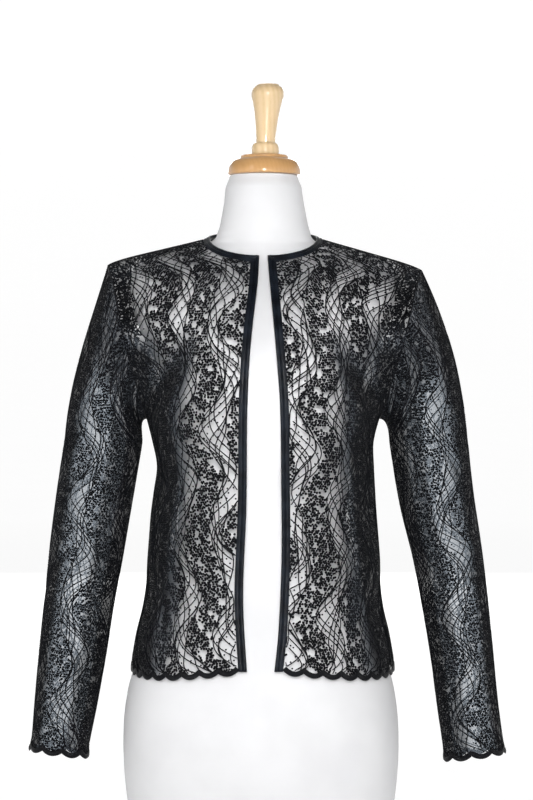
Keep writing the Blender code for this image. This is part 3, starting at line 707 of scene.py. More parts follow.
grids = {(side, part): body_grid(side, part) for side in (RIGHT, LEFT) for part in ("front", "back")}
TOP_ROW = CORNER_ROW * ROW_STEPS
print("one front's grid:", grids[RIGHT, "front"].shape)


# %% The sleeves' grids
SLEEVE_ANGLES = np.linspace(-np.pi, np.pi, 97)
HEAD_STEPS = 18
ARM_STEPS = 62


def sleeve_centre(side, z):
    """The middle of the sleeve at each height, from the sleeve's table."""
    z = np.asarray(z, float)
    return np.stack([side * sleeve_column[f"{SIDE_NAMES[side]}_out"](z), sleeve_column["y"](z), z], axis=-1)


def sleeve_rings(side, z, angles):
    """Rings of the sleeve, square to its run: outermost at angle 0, front at a quarter turn."""
    step = 0.004
    run = unit(sleeve_centre(side, z - step) - sleeve_centre(side, z + step))
    back_way = unit(np.array([0.0, 1.0, 0.0]) - run * run[:, 1:2])
    out_way = unit(np.cross(run, back_way)) * side
    width = sleeve_column[f"{SIDE_NAMES[side]}_width"](z)[:, None, None]
    depth = sleeve_column["depth"](z)[:, None, None]
    c, s = np.cos(angles)[None, :, None], np.sin(angles)[None, :, None]
    rings = sleeve_centre(side, z)[:, None] + out_way[:, None] * width * c - back_way[:, None] * depth * s
    return rings, run


def sleeve_grid(side):
    """The sleeve from its armhole seam down to its border: curved head rows, then rings along the arm."""
    angles = SLEEVE_ANGLES
    turn = 1 - np.abs(angles) / np.pi
    seam = np.where(angles[:, None] > 0, armhole(side, turn, "front"), armhole(side, turn, "back"))
    arm_z = np.linspace(SLEEVE["z"][0], CUFF_CUSP_Z[side] + BORDER_DEPTH, ARM_STEPS + 1)
    rings, runs = sleeve_rings(side, arm_z, angles)
    low = (1 - np.cos(angles)) / 2
    away = [side * blend(HEAD_SPREAD[side], 1.0, low**2), -0.40 * np.sin(angles), -0.90 * (1 - low**3)]
    reach = np.linalg.norm(rings[0] - seam, axis=1, keepdims=True)
    first = seam + unit(np.stack(away, axis=1)) * reach * HEAD_PULL
    last = rings[0] - runs[0] * reach * HEAD_PULL
    shares = np.arange(HEAD_STEPS) / HEAD_STEPS
    head = np.array([curve(seam, rings[0], first, last, np.full(len(angles), share)) for share in shares])
    return np.vstack([head, rings])[::-1], runs[-1]


print("one sleeve's grid:", sleeve_grid(RIGHT)[0].shape)

# %% [markdown]
# ## Creases
#
# A jacket on a form has few folds, and each one has a cause: the cloth breaks where the sleeve leaves the
# armhole, at the bend of the elbow, and at the waist, where the body goes in. They are soft and shallow, so
# each is a bell across and a swell along, with its own length, width and height. The hidden sides get similar
# ones. Each crease gives the flat place (across, up), the lean from upright in degrees, half the length, the
# width and the rise.

# %% Creases
FRONT_CREASES = {
    RIGHT: (
        (0.118, 0.215, 38.0, 0.060, 0.0085, -0.0018), (0.128, 0.190, 30.0, 0.045, 0.0070, 0.0014),
        (0.105, 0.245, 46.0, 0.050, 0.0080, -0.0012), (0.100, 0.150, -24.0, 0.055, 0.0090, -0.0014),
        (0.060, 0.060, 8.0, 0.070, 0.0120, 0.0014), (0.095, 0.045, -6.0, 0.060, 0.0110, -0.0016),
        (0.130, 0.330, -34.0, 0.055, 0.0080, -0.0014), (0.040, 0.330, -18.0, 0.060, 0.0110, 0.0010),
    ),
    LEFT: (
        (0.112, 0.205, 34.0, 0.055, 0.0080, -0.0016), (0.125, 0.180, 24.0, 0.050, 0.0075, 0.0015),
        (0.098, 0.250, 50.0, 0.045, 0.0085, -0.0013), (0.108, 0.140, -20.0, 0.060, 0.0085, -0.0013),
        (0.052, 0.055, -7.0, 0.065, 0.0120, 0.0013), (0.088, 0.050, 9.0, 0.060, 0.0110, -0.0015),
        (0.128, 0.335, -38.0, 0.060, 0.0085, -0.0015), (0.048, 0.345, -22.0, 0.050, 0.0100, 0.0009),
    ),
}
BACK_CREASES = (
    (-0.080, 0.190, 28.0, 0.060, 0.0090, -0.0017), (0.086, 0.185, -30.0, 0.055, 0.0085, -0.0016),
    (-0.055, 0.215, 36.0, 0.045, 0.0080, 0.0013), (0.058, 0.222, -33.0, 0.050, 0.0080, 0.0012),
    (-0.020, 0.060, 5.0, 0.070, 0.0130, 0.0013), (0.035, 0.070, -8.0, 0.065, 0.0120, -0.0013),
    (-0.110, 0.330, -30.0, 0.060, 0.0090, -0.0014), (0.114, 0.325, 33.0, 0.055, 0.0090, -0.0014),
    (0.000, 0.420, 88.0, 0.050, 0.0090, -0.0009),
)
SLEEVE_CREASES = {
    RIGHT: (
        (0.045, 0.215, 52.0, 0.050, 0.0080, -0.0020), (0.060, 0.240, 60.0, 0.040, 0.0070, 0.0015),
        (0.020, 0.185, 48.0, 0.040, 0.0075, -0.0014), (-0.050, 0.210, -50.0, 0.050, 0.0080, -0.0018),
        (0.060, 0.330, 30.0, 0.060, 0.0090, -0.0018), (0.035, 0.380, 24.0, 0.060, 0.0085, 0.0014),
        (-0.060, 0.340, -28.0, 0.060, 0.0095, -0.0017), (0.070, 0.110, -36.0, 0.045, 0.0080, -0.0013),
        (-0.060, 0.100, 40.0, 0.045, 0.0080, -0.0012), (0.020, 0.430, 14.0, 0.050, 0.0080, -0.0012),
    ),
    LEFT: (
        (0.050, 0.205, 56.0, 0.050, 0.0085, -0.0019), (0.040, 0.235, 48.0, 0.040, 0.0070, 0.0014),
        (0.062, 0.170, 44.0, 0.045, 0.0080, -0.0014), (-0.055, 0.215, -54.0, 0.050, 0.0080, -0.0018),
        (0.055, 0.335, 26.0, 0.060, 0.0085, -0.0018), (0.030, 0.370, 34.0, 0.050, 0.0080, 0.0014),
        (-0.065, 0.330, -32.0, 0.060, 0.0095, -0.0017), (0.060, 0.095, -30.0, 0.045, 0.0080, -0.0013),
        (-0.050, 0.110, 36.0, 0.045, 0.0080, -0.0012), (0.015, 0.435, 20.0, 0.045, 0.0080, -0.0012),
    ),
}
groups = [*FRONT_CREASES.values(), BACK_CREASES, *SLEEVE_CREASES.values()]
print("creases:", sum(len(group) for group in groups))

# %% [markdown]
# ## The pieces of cloth
#
# Each piece is now a leaf: its grid, its border below, its creases and its flat places. The back is two
# leaves that share the line down its centre.


# %% Leaves of cloth
def axis_of(points):
    """The nearest point of the form's upright axis."""
    return points * np.array([0.0, 0.0, 1.0])


def front_leaf(side):
    """One front, from the binding's inner line to the side seam and the armhole."""
    grid = grids[side, "front"]
    cloth = grid[:, 1:]
    reach = border_reach(share_along(cloth[0]), level_outward(cloth[0], side), DOWN, HEM_SCALLOPS["front"])
    points = with_border(cloth, reach)
    across, up = flat_places(points, BORDER_STEPS, 0)
    return Leaf(points, axis_of(points), across, up, FRONT_CREASES[side])


def back_leaf(side):
    """Half of the back, from its centre line out. Above the neck's lowest point it starts at the binding."""
    cloth = grids[side, "back"][:, 1:]
    centre = cloth[:, :1] * np.array([0.0, 1.0, 1.0])
    centre[TOP_ROW:] = cloth[TOP_ROW:, :1]
    line = np.vstack([centre[0], cloth[0]])
    reach = border_reach(share_along(line), level_outward(line, -side), DOWN, HEM_SCALLOPS["back"] // 2)
    across, up = flat_places(with_border(cloth, reach[1:]), BORDER_STEPS, 0, FRONT_RIM_WIDTH)
    middle = np.where(np.arange(len(across)) < TOP_ROW + BORDER_STEPS, 0.0, across[:, 0])
    across = np.concatenate([middle[:, None], across], axis=1)
    up = np.concatenate([up[:, :1], up], axis=1)
    points = with_border(np.concatenate([centre, cloth], axis=1), reach)
    return Leaf(points, axis_of(points), across * side, up, BACK_CREASES)


def sleeve_leaf(side):
    """One sleeve, open along its underarm seam, and flat on both sides of its fold line."""
    cloth, run = sleeve_grid(side)
    share = (SLEEVE_ANGLES + np.pi) / (2 * np.pi)
    out = unit((cloth[0] - cloth[0, :-1].mean(axis=0)) * LEVEL)
    points = with_border(cloth, border_reach(share, out, run, CUFF_SCALLOPS))
    across, up = flat_places(points, BORDER_STEPS, len(SLEEVE_ANGLES) // 2)
    middle = points[:, :-1].mean(axis=1, keepdims=True)
    return Leaf(points, middle, across, up, SLEEVE_CREASES[side])


leaves = {f"front_{SIDE_NAMES[side]}": [front_leaf(side)] for side in (RIGHT, LEFT)}
leaves["back"] = [back_leaf(RIGHT), back_leaf(LEFT)]
leaves |= {f"sleeve_{SIDE_NAMES[side]}": [sleeve_leaf(side)] for side in (RIGHT, LEFT)}
for name, parts in leaves.items():
    width = max(np.ptp(leaf.across) for leaf in parts) * len(parts)
    print(f"{name}: flat {width:.3f} by {np.ptp(parts[0].up):.3f} m")

# %% [markdown]
# ## The sheer net
#
# The ground of the lace is one sheet of net. It is a single layer of cloth, so the form shows through it as
# much as its cover attribute lets it. In the photograph the lace is much darker wherever it turns to the side
# or reaches past the white form, and in the sleeves it is a haze that closes up towards both edges. That
# darkness is shade, and it is painted into the net: its cover attribute closes the net up and turns it black
# there, and in the middle of the sleeves the haze is painted sheen. So each kind of piece has its own
# measures, for how the painted shade rises over the cloth.


# %% Net sheets
def leaf_faces(leaf, first_row=0, empty=0):
    """A leaf's quads, turned to face out. The first columns above a row may be left empty, as at the neck."""
    rows, columns = leaf.across.shape
    row, column = np.divmod(np.arange((rows - 1) * (columns - 1)), columns - 1)
    faces = grid_faces(rows, columns)[(column >= empty) | (row < first_row)]
    return faces if leaf.turned > 0 else faces[:, ::-1]


def painted_shade_cover(leaf, side, low, high, start, soft, top, inner=0.0, head=0.0, beside=0.0, armhole=0.0):
    """How much of the net is thread, as painted shade: the largest of five. It rises from low to high as the
    cloth turns to the side, and by top more where it lies level. It is inner on a sleeve's side towards the
    body, head at the top of a sleeve, beside where a body piece reaches past the form, and armhole next to an
    armhole. Each of these closes and darkens the net where it lies in shade."""
    sideways = ease((np.abs(leaf.normals[..., 0]) - start) / soft)
    level = ease((leaf.normals[..., 2] - 0.35) / 0.4)
    to_body = ease((0.15 - side * leaf.normals[..., 0]) / 0.50)
    climb = np.linspace(0.0, 1.0, len(leaf.points))[:, None]
    reach, height = np.abs(leaf.points[..., 0]), leaf.points[..., 2]
    total = np.maximum(blend(low, high, sideways) + top * level, inner * to_body)
    total = np.maximum(total, head * ease((climb - 0.80) / 0.12))
    total = np.maximum(total, beside * ease((reach - 0.108) / 0.032) * ease((0.640 - height) / 0.050))
    total = np.maximum(total, armhole * ease((reach - 0.148) / 0.020))
    return np.clip(total, 0.0, 0.97)


def net_sheet(name, sides, faces, measures, material):
    """Joins a piece's leaves into one open sheet with its flat places and its painted shade, kept as an
    attribute of its points.
    """
    parts = leaves[name]
    points = np.concatenate([leaf.points.reshape(-1, 3) for leaf in parts])
    across, up = (np.concatenate([getattr(leaf, key).ravel() for leaf in parts]) for key in ("across", "up"))
    closed = np.concatenate([painted_shade_cover(leaf, side, **measures).ravel() for leaf, side in zip(parts, sides)])
    used, places = np.unique(faces, return_inverse=True)
    made = put_mesh(f"net_{name}", points[used], [places.reshape(faces.shape)], material)
    put_uv(made, across[used], up[used])
    layer = made.data.attributes.new("painted_shade_cover", "FLOAT", "POINT")
    layer.data.foreach_set("value", closed[used].astype(np.float32))
    return made


def back_faces():
    """The faces of both halves of the back. The left half uses the right half's points of the centre line."""
    right, left = leaves["back"]
    neck_row = TOP_ROW + BORDER_STEPS
    count, columns = right.across.size, right.across.shape[1]
    faces = np.concatenate([leaf_faces(right, neck_row, 1), leaf_faces(left, neck_row, 1) + count])
    centre = (faces >= count) & (faces < count + neck_row * columns) & (faces % columns == 0)
    return np.where(centre, faces - count, faces)


# %% Nets
# Painted shade: how far each kind of piece's net closes up and turns black as it turns away, lies level, or
# reaches past the form.
FRONT_PAINTED_SHADE = {"low": 0.02, "high": 0.92, "start": 0.54, "soft": 0.32, "top": 0.25, "beside": 0.88}
BACK_PAINTED_SHADE = {"low": 0.08, "high": 0.90, "start": 0.50, "soft": 0.32,
              "top": 0.40, "beside": 0.90, "armhole": 0.90}
SLEEVE_PAINTED_SHADE = {"low": 0.50, "high": 0.86, "start": 0.36, "soft": 0.52,
                "top": 0.20, "inner": 0.74, "head": 0.76}
nets = {}
for side in (RIGHT, LEFT):
    for kind, measures, material in (("front", FRONT_PAINTED_SHADE, body_net), ("sleeve", SLEEVE_PAINTED_SHADE, sleeve_net)):
        name = f"{kind}_{SIDE_NAMES[side]}"
        nets[name] = net_sheet(name, [side], leaf_faces(leaves[name][0]), measures, material)
nets["back"] = net_sheet("back", [RIGHT, LEFT], back_faces(), BACK_PAINTED_SHADE, body_net)

# %% [markdown]
# ## Scalloped edges
#
# The lace's own border ends in scallops, and a machine has overcast them with thick thread: an oval cord that
# swings down in round lobes and comes up to a point between them. It is an oval carried along the border's
# line.


# %% Overcast cords
def overcast(name, line, out, section, closed=False):
    """A section carried along a line of the cloth: its width across the line, its rise off the cloth."""
    if closed:
        run = unit(np.roll(line, -1, axis=0) - np.roll(line, 1, axis=0))
    else:
        run = unit(np.gradient(line, axis=0))
    across = unit(np.cross(out, run))
    up = unit(np.cross(run, across))
    return carried(name, line, across, up, section, overcast_material, closed)


def even(line, count):
    """Points at even steps along a line."""
    gone = along(line)
    at = np.linspace(0, gone[-1], count + 1)
    return np.stack([np.interp(at, gone, line[:, axis]) for axis in range(3)], axis=1)


def hem_cord(name, line, sign, scallops):
    """The overcast cord of a hem: the hem's line in even steps, moved down by the border's own reach."""
    line = even(line, scallops * SCALLOP_POINTS)
    out = level_outward(line, sign)
    reach = border_reach(share_along(line), out, DOWN, scallops)
    return overcast(f"hem_cord_{name}", line + reach, out, EDGE_CORD_SECTION)


def cuff_cord(name, side):
    """The overcast cord of a cuff: the sleeve's lowest ring, moved on by the border's own reach."""
    turns = np.linspace(-np.pi, np.pi, CUFF_SCALLOPS * SCALLOP_POINTS, endpoint=False)
    rings, runs = sleeve_rings(side, np.array([CUFF_CUSP_Z[side] + BORDER_DEPTH]), turns)
    out = unit((rings[0] - rings[0].mean(axis=0)) * LEVEL)
    reach = border_reach((turns + np.pi) / (2 * np.pi), out, runs[0], CUFF_SCALLOPS)
    return overcast(f"cuff_cord_{name}", rings[0] + reach, out, EDGE_CORD_SECTION, closed=True)


SCALLOP_POINTS = 12
EDGE_CORD_SECTION = oval(EDGE_CORD_HALF, EDGE_CORD_THICK, 12)
for side in (RIGHT, LEFT):
    name = f"front_{SIDE_NAMES[side]}"
    hem_cord(name, grids[side, "front"][0, 1:], side, HEM_SCALLOPS["front"])
back_hem = np.vstack([grids[RIGHT, "back"][0, ::-1], grids[LEFT, "back"][0, 1:]])
hem_cord("back", back_hem, -1, HEM_SCALLOPS["back"])
for side in (RIGHT, LEFT):
    cuff_cord(SIDE_NAMES[side], side)

# %% [markdown]
# ## Bindings
#
# A strip of dull satin is folded over each front edge and round the neck. Its fold is a soft roll, a line of
# stitches pulls a groove into it, and its inner half slopes down to the lace. The profile is drawn once and
# carried from the hem up to the neck's corner, and again round the neck, where both strips are mitred.

# %% Satin bindings
BINDING_SECTION = np.array([
    (0.000, 0.0000), (0.012, 0.0007), (0.05, 0.0014), (0.12, 0.0020), (0.22, 0.0022), (0.32, 0.0019),
    (0.40, 0.0012), (0.45, 0.0003), (0.48, 0.0006), (0.54, 0.0013), (0.62, 0.0014), (0.74, 0.0010),
    (0.88, 0.0005), (1.00, 0.0001), (1.00, -0.0004), (0.86, -0.0009), (0.60, -0.0010), (0.46, -0.0008),
    (0.28, -0.0014), (0.15, -0.0015), (0.07, -0.0012), (0.015, -0.0006),
])
PUCKERS = ((0.00010, 0.0062, 0.0), (0.00012, 0.0171, 1.0))
TAIL_STEPS = 4


def binding(name, rim, inner, out):
    """The profile carried along the garment's edge. Across it is a share of the strip's width at each place,
    and its rise swells and sinks with the puckers: two sines of their own height, length and start."""
    section = np.tile(BINDING_SECTION, (len(rim), 1, 1))
    section[..., 0] *= np.linalg.norm(inner - rim, axis=1)[:, None]
    length = along(rim)[:, None]
    pucker = sum(rise * np.sin(length * (2 * np.pi / pitch) + start) for rise, pitch, start in PUCKERS)
    section[..., 1] += pucker * np.sign(section[..., 1])
    return carried(name, rim, unit(inner - rim), out, section, satin_material)


def edge_lines(side, part):
    """The rim and inner lines of a part, and the outward direction along them."""
    grid = grids[side, part]
    leaf = Leaf(grid, axis_of(grid), grid[..., 0], grid[..., 2])
    return grid[:, 0], grid[:, 1], unit(leaf.normals[:, 0] + leaf.normals[:, 1])


for side in (RIGHT, LEFT):
    rim, inner, out = (line[: TOP_ROW + 1] for line in edge_lines(side, "front"))
    foot = np.array([side * edge_distance[side](BINDING_END_Z), -front_depth(BINDING_END_Z), BINDING_END_Z])
    tail = (foot - rim[0]) * np.linspace(1.0, 1 / TAIL_STEPS, TAIL_STEPS)[:, None]
    lines = [np.vstack([line[0] + tail, line]) for line in (rim, inner)]
    name = f"front_{SIDE_NAMES[side]}"
    out = np.vstack([np.repeat(out[:1], TAIL_STEPS, axis=0), out])
    binding(f"satin_{name}", *lines, out)
path = []
NECK_PARTS = ((RIGHT, "front", 1), (RIGHT, "back", -1), (LEFT, "back", 1), (LEFT, "front", -1))
for side, part, up_first in NECK_PARTS:
    lines = np.array([line[TOP_ROW:] for line in edge_lines(side, part)])[:, ::up_first]
    path.append(lines if not path else lines[:, 1:])
neck_lines = np.concatenate(path, axis=1)
binding("satin_neck", *neck_lines)

# %% [markdown]
# ## The lace's pattern
#
# The pattern is of two things. In wandering columns fine cords cross each other and leave lens-shaped cells
# of bare net, with a few lone knots in them. Between the columns lie fields of small round knots, close
# enough to touch, with irregular open puddles. Both are sewn on the flat lace, so both are worked out in flat
# places.


# %% Columns, puddles and where they lie
COLUMN_PITCH = 0.0550
COLUMN_SWAY = 0.0110
COLUMN_REPEAT = 0.1185
COLUMN_HALF = 0.0120
COLUMN_SWELL = 0.0045


def column_middle(number, t, first, phase):
    """Where a column's middle lies: it wanders from side to side as it climbs, as a sine of the height t."""
    return first + number * COLUMN_PITCH + COLUMN_SWAY * np.sin(2 * np.pi * t / COLUMN_REPEAT + phase)


def column_half(number, t, phase):
    """Half a column's width: it opens and draws together, out of step with its neighbours, as two sines."""
    swell = np.sin(2 * np.pi * t / 0.083 + 2.3 * number + phase)
    slow = np.sin(2 * np.pi * t / 0.217 + 1.1 * number)
    return COLUMN_HALF + COLUMN_SWELL * (0.75 * swell + 0.35 * slow)


def waves(s, t, seed, shortest, longest, count=16):
    """Smooth noise of unit spread: plane waves of seeded directions, lengths and phases, added up."""
    draw = np.random.default_rng(seed)
    turn, phase = draw.uniform(0, 2 * np.pi, (2, count))
    pace = 2 * np.pi / draw.uniform(shortest, longest, count)
    total = sum(np.sin((s * math.cos(a) + t * math.sin(a)) * k + p) for a, k, p in zip(turn, pace, phase))
    return total / math.sqrt(count / 2)


def column_share(s, t, first, phase):
    """How far a place is from the nearest column's middle, as a share of that column's half width."""
    number = np.round((s - column_middle(0, t, first, phase)) / COLUMN_PITCH)
    return np.abs(s - column_middle(number, t, first, phase)) / column_half(number, t, phase)


# %% Where the knots and the cords lie
KNOT_PITCH = 0.0030
KNOT_JITTER = 0.16
KNOT_RADIUS = 0.00162
KNOT_RISE = 0.00075
KNOT_SPREAD = 0.14
KNOTS_MISSING = 0.05
PUDDLE = 1.22
LONE_PITCH = 0.0085
LONE_JITTER = 0.22
LONE_RADIUS = KNOT_RADIUS * 0.72
CORDS_IN_COLUMN = 8
CORD_STEP = 0.0042
CORD_SWING = (0.112, 0.136)
CORD_JITTER = 0.22


def honeycomb(draw, low, high, pitch, jitter):
    """Rows of places a pitch apart, every other row shifted by half a pitch, each place strayed at random."""
    rows = np.arange(low[1], high[1], pitch * math.sqrt(3) / 2)
    s, t = np.meshgrid(np.arange(low[0], high[0], pitch), rows)
    s = s + (np.arange(len(rows)) % 2)[:, None] * pitch / 2
    shift = draw.normal(0, jitter * pitch, (2, *s.shape))
    return (s + shift[0]).ravel(), (t + shift[1]).ravel()


def knot_places(low, high, first, phase, seed, folded):
    """Flat places of the knots: a strayed honeycomb, kept out of columns and puddles, and a few lone ones.
    A sleeve is cut with its pattern alike to both sides of the fold line down its outer side."""
    draw = np.random.default_rng(seed)
    spread = np.abs if folded else np.positive
    s, t = honeycomb(draw, low, high, KNOT_PITCH, KNOT_JITTER)
    share = column_share(spread(s), t + BORDER_DEPTH, first, phase)
    share = share + 0.20 * waves(s, t, seed + 1, 0.008, 0.026)
    thin = draw.uniform(size=s.shape) < KNOTS_MISSING
    kept = (share > 1.0) & (waves(spread(s), t, seed + 2, 0.011, 0.023) < PUDDLE) & ~thin
    radius = KNOT_RADIUS * draw.uniform(1 - KNOT_SPREAD, 1 + KNOT_SPREAD, s.shape)
    lone_s, lone_t = honeycomb(draw, low, high, LONE_PITCH, LONE_JITTER)
    inside = column_share(spread(lone_s), lone_t + BORDER_DEPTH, first, phase) < 0.95
    lone = np.full(inside.sum(), LONE_RADIUS)
    both = ((s[kept], lone_s[inside]), (t[kept], lone_t[inside]), (radius[kept], lone))
    return [np.concatenate(pair) for pair in both]


def cord_lines(low, high, first, phase, seed, folded):
    """Flat lines of the columns' cords. Each swings across its column as a sine of its own start, with a slow
    and a quick stray of its own, so that they cross at uneven angles."""
    draw = np.random.default_rng(seed)
    t = np.arange(low[1], high[1], CORD_STEP)
    way = 2 * np.pi * (t + BORDER_DEPTH)
    lines = []
    lowest = 0 if folded else math.floor((low[0] - first) / COLUMN_PITCH) - 1
    for number in np.arange(lowest, math.ceil((high[0] - first) / COLUMN_PITCH) + 2):
        middle = column_middle(number, t + BORDER_DEPTH, first, phase)
        half = column_half(number, t + BORDER_DEPTH, phase)
        swing = draw.uniform(*CORD_SWING)
        for cord in range(CORDS_IN_COLUMN):
            begin = 2 * np.pi * cord / CORDS_IN_COLUMN + draw.uniform(-CORD_JITTER, CORD_JITTER)
            stray = 0.30 * np.sin(way / 0.19 + 1.7 * cord)
            swerve = np.sin(way / swing + begin + stray) + 0.08 * np.sin(way / 0.041 + 2 * begin)
            lines.append(middle + half * swerve)
    lines = np.vstack([lines, -np.array(lines)]) if folded else np.array(lines)
    return lines, np.broadcast_to(t, lines.shape)


LACE = {
    "front_right": {"first": 0.0015, "phase": -0.603, "seed": 11},
    "front_left": {"first": 0.0020, "phase": 0.985, "seed": 23},
    "back": {"first": 0.0, "phase": 0.4, "seed": 37},
    "sleeve_right": {"first": 0.0130, "phase": 1.9, "seed": 53},
    "sleeve_left": {"first": 0.0100, "phase": -0.7, "seed": 71},
}
print("pattern pitch:", COLUMN_PITCH, "m; knot pitch:", KNOT_PITCH, "m")


# %% Knots and cords as meshes
CORD_THICK = 0.00068
CORD_SUNK = 0.0001
KNOT_SUNK = 0.00015


def knots(name, leaf, s, t, radius, seed):
    """A six-sided foot and a peak at each place, turned at random about the cloth's normal."""
    points, normals, found = leaf.place(s, t)
    points, normals, radius = points[found], normals[found], radius[found]
    draw = np.random.default_rng(seed)
    turn = draw.uniform(0, 2 * np.pi, (len(points), 1)) + np.arange(6) * np.pi / 3
    side_way = unit(np.cross(normals, (0.1, 0.3, 1.0)))
    other = np.cross(normals, side_way)
    ring = side_way[:, None] * np.cos(turn)[..., None] + other[:, None] * np.sin(turn)[..., None]
    foot = (points - normals * KNOT_SUNK)[:, None] + ring * radius[:, None, None]
    peak = points + normals * (KNOT_RISE * draw.uniform(0.8, 1.2, (len(points), 1)))
    all_points = np.concatenate([foot, peak[:, None]], axis=1)
    start = np.arange(len(points))[:, None] * 7
    k = np.arange(6)
    sides = np.stack([k, (k + 1) % 6, np.full(6, 6)], axis=1)
    faces = [(start[:, :, None] + sides).reshape(-1, 3), start + k[::-1]]
    return put_mesh(name, all_points.reshape(-1, 3), faces, knot_material)


def cords(name, leaf, s, t):
    """A three-sided tube along each line, cut where the line leaves the cloth, and closed at every cut."""
    lines, length = s.shape
    points, normals, found = (part.reshape(lines, length, -1) for part in leaf.place(s.ravel(), t.ravel()))
    found = found[..., 0]
    half_width = unit(np.cross(normals, np.gradient(points, axis=1))) * CORD_THICK
    low = points - normals * CORD_SUNK
    ring = np.stack([low + half_width, low - half_width, points + normals * CORD_THICK], axis=2)
    place = np.arange(lines * length).reshape(lines, length) * 3
    joined = found[:, 1:] & found[:, :-1]
    a, b = place[:, :-1][joined][:, None], place[:, 1:][joined][:, None]
    k, after = np.arange(3), (np.arange(3) + 1) % 3
    walls = np.stack([a + k, b + k, b + after, a + after], axis=-1).reshape(-1, 4)[:, ::-1]
    edge = np.zeros((lines, 1), bool)
    starts = np.hstack([joined, edge]) & ~np.hstack([edge, joined])
    stops = np.hstack([edge, joined]) & ~np.hstack([joined, edge])
    caps = [place[starts][:, None] + k[::-1], place[stops][:, None] + k]
    corners = np.concatenate([walls.ravel(), *(cap.ravel() for cap in caps)])
    used, faces = np.unique(corners, return_inverse=True)
    walls, caps = faces[: walls.size].reshape(-1, 4), faces[walls.size :].reshape(-1, 3)
    return put_mesh(name, ring.reshape(-1, 3)[used], [walls, caps], cord_material)


stitched = {}
for name, parts in leaves.items():
    low = [min(leaf.across.min() for leaf in parts), parts[0].up.min()]
    high = [max(leaf.across.max() for leaf in parts), parts[0].up.max()]
    folded = name.startswith("sleeve")
    s, t, radius = knot_places(low, high, folded=folded, **LACE[name])
    lines = cord_lines(low, high, folded=folded, **LACE[name])
    tags = [name] if len(parts) == 1 else [f"{name}_right", f"{name}_left"]
    stitched[name] = []
    for tag, leaf in zip(tags, parts):
        stitched[name].append(knots(f"knots_{tag}", leaf, s, t, radius, LACE[name]["seed"]))
        stitched[name].append(cords(f"cords_{tag}", leaf, *lines))

# %% [markdown]
# ## Seams
#
# Each seam is overlocked inside, which shows through the lace as a narrow dark ridge: down the sides, over
# the shoulders, round the armholes and under the arms.


# %% Seam ridges
SEAM_SECTION = oval(0.0009, 0.0006, 8)
seams = {}
for side in (RIGHT, LEFT):
    name = SIDE_NAMES[side]
    leaf, sleeve = leaves[f"front_{name}"][0], leaves[f"sleeve_{name}"][0]
    side_rows = slice(0, LOWER_ROWS * ROW_STEPS + BORDER_STEPS + 1)
    side_line = leaf.points[side_rows, -1]
    lines = {
        "side": (side_line, unit(side_line * (1, 0, 0)), False),
        "shoulder": (leaf.points[-1], leaf.normals[-1], False),
        "armhole": (sleeve.points[-1, :-1], sleeve.normals[-1, :-1], True),
        "underarm": (sleeve.points[:, 0], sleeve.normals[:, 0], False),
    }
    made = [overcast(f"{kind}_seam_{name}", line, out, SEAM_SECTION, closed)
            for kind, (line, out, closed) in lines.items()]
    seams[f"front_{name}"], seams[f"sleeve_{name}"] = made[:2], made[2:]

# %% [markdown]
# ## The dress form
#
# The form is a stuffed torso with white jersey stretched over it. Its level sections are each two half
# superellipses: an ellipse whose power is a little over or under two, which squares it or draws it in. The
# jersey's own colour is a middle grey here, because the strong light from the front brings it up to white.

# %% Form measures
FORM = {
    "z": (0.000, 0.060, 0.126, 0.180, 0.200, 0.216, 0.235, 0.255, 0.300,
          0.350, 0.410, 0.480, 0.545, 0.590, 0.630, 0.660, 0.680, 0.698,
          0.710, 0.720, 0.727, 0.733, 0.742, 0.765, 0.790, 0.809),
    "half": (0.1480, 0.1595, 0.1648, 0.1618, 0.1582, 0.1535, 0.1465, 0.1385, 0.1215,
             0.1070, 0.1000, 0.1050, 0.1150, 0.1300, 0.1500, 0.1580, 0.1590, 0.1540,
             0.1380, 0.1060, 0.0708, 0.0598, 0.0555, 0.0500, 0.0462, 0.0450),
    "across": (-0.0024, -0.0024, -0.0024, -0.0024, -0.0022, -0.0020, -0.0018, -0.0016, -0.0012,
               -0.0008, -0.0004, 0.0000, 0.0000, 0.0000, 0.0000, 0.0000, 0.0000, 0.0000,
               0.0000, 0.0000, 0.0004, 0.0008, 0.0012, 0.0012, 0.0008, 0.0006),
    "middle": (0.000, 0.000, 0.000, 0.000, 0.000, 0.000, 0.000, 0.000, 0.000,
               0.000, 0.000, 0.000, 0.000, 0.000, 0.002, 0.004, 0.006, 0.008,
               0.009, 0.009, 0.009, 0.008, 0.006, 0.004, 0.003, 0.003),
    "front": (0.1060, 0.1120, 0.1130, 0.1080, 0.1055, 0.1030, 0.1000, 0.0970, 0.0900,
              0.0860, 0.0860, 0.0990, 0.1190, 0.1140, 0.0970, 0.0820, 0.0710, 0.0620,
              0.0560, 0.0525, 0.0508, 0.0498, 0.0485, 0.0455, 0.0430, 0.0425),
    "back": (0.1120, 0.1200, 0.1220, 0.1180, 0.1150, 0.1110, 0.1070, 0.1010, 0.0890,
             0.0800, 0.0770, 0.0840, 0.0930, 0.0980, 0.0990, 0.0940, 0.0860, 0.0760,
             0.0700, 0.0640, 0.0600, 0.0585, 0.0565, 0.0520, 0.0490, 0.0480),
    "square": (2.4, 2.4, 2.3, 2.2, 2.1, 2.1, 2.1, 2.1, 2.1,
               2.1, 2.1, 2.1, 2.1, 2.1, 2.0, 1.85, 1.70, 1.50,
               1.38, 1.38, 1.50, 1.80, 2.0, 2.0, 2.0, 2.0),
}
FORM_SIDES = 128
FORM_ROWS = ((0.0, 0.809, 150), (0.68, 0.76, 41), (0.790, 0.809, 15))
TUCK_DEPTH = 0.0042
TUCK_FROM_Z = 0.7930
TUCK_HEIGHT = 0.0160
JERSEY_SHADES = ((0.515, 0.515, 0.525, 1.0), (0.55, 0.55, 0.56, 1.0))
RIB_WIDTH = 0.0011
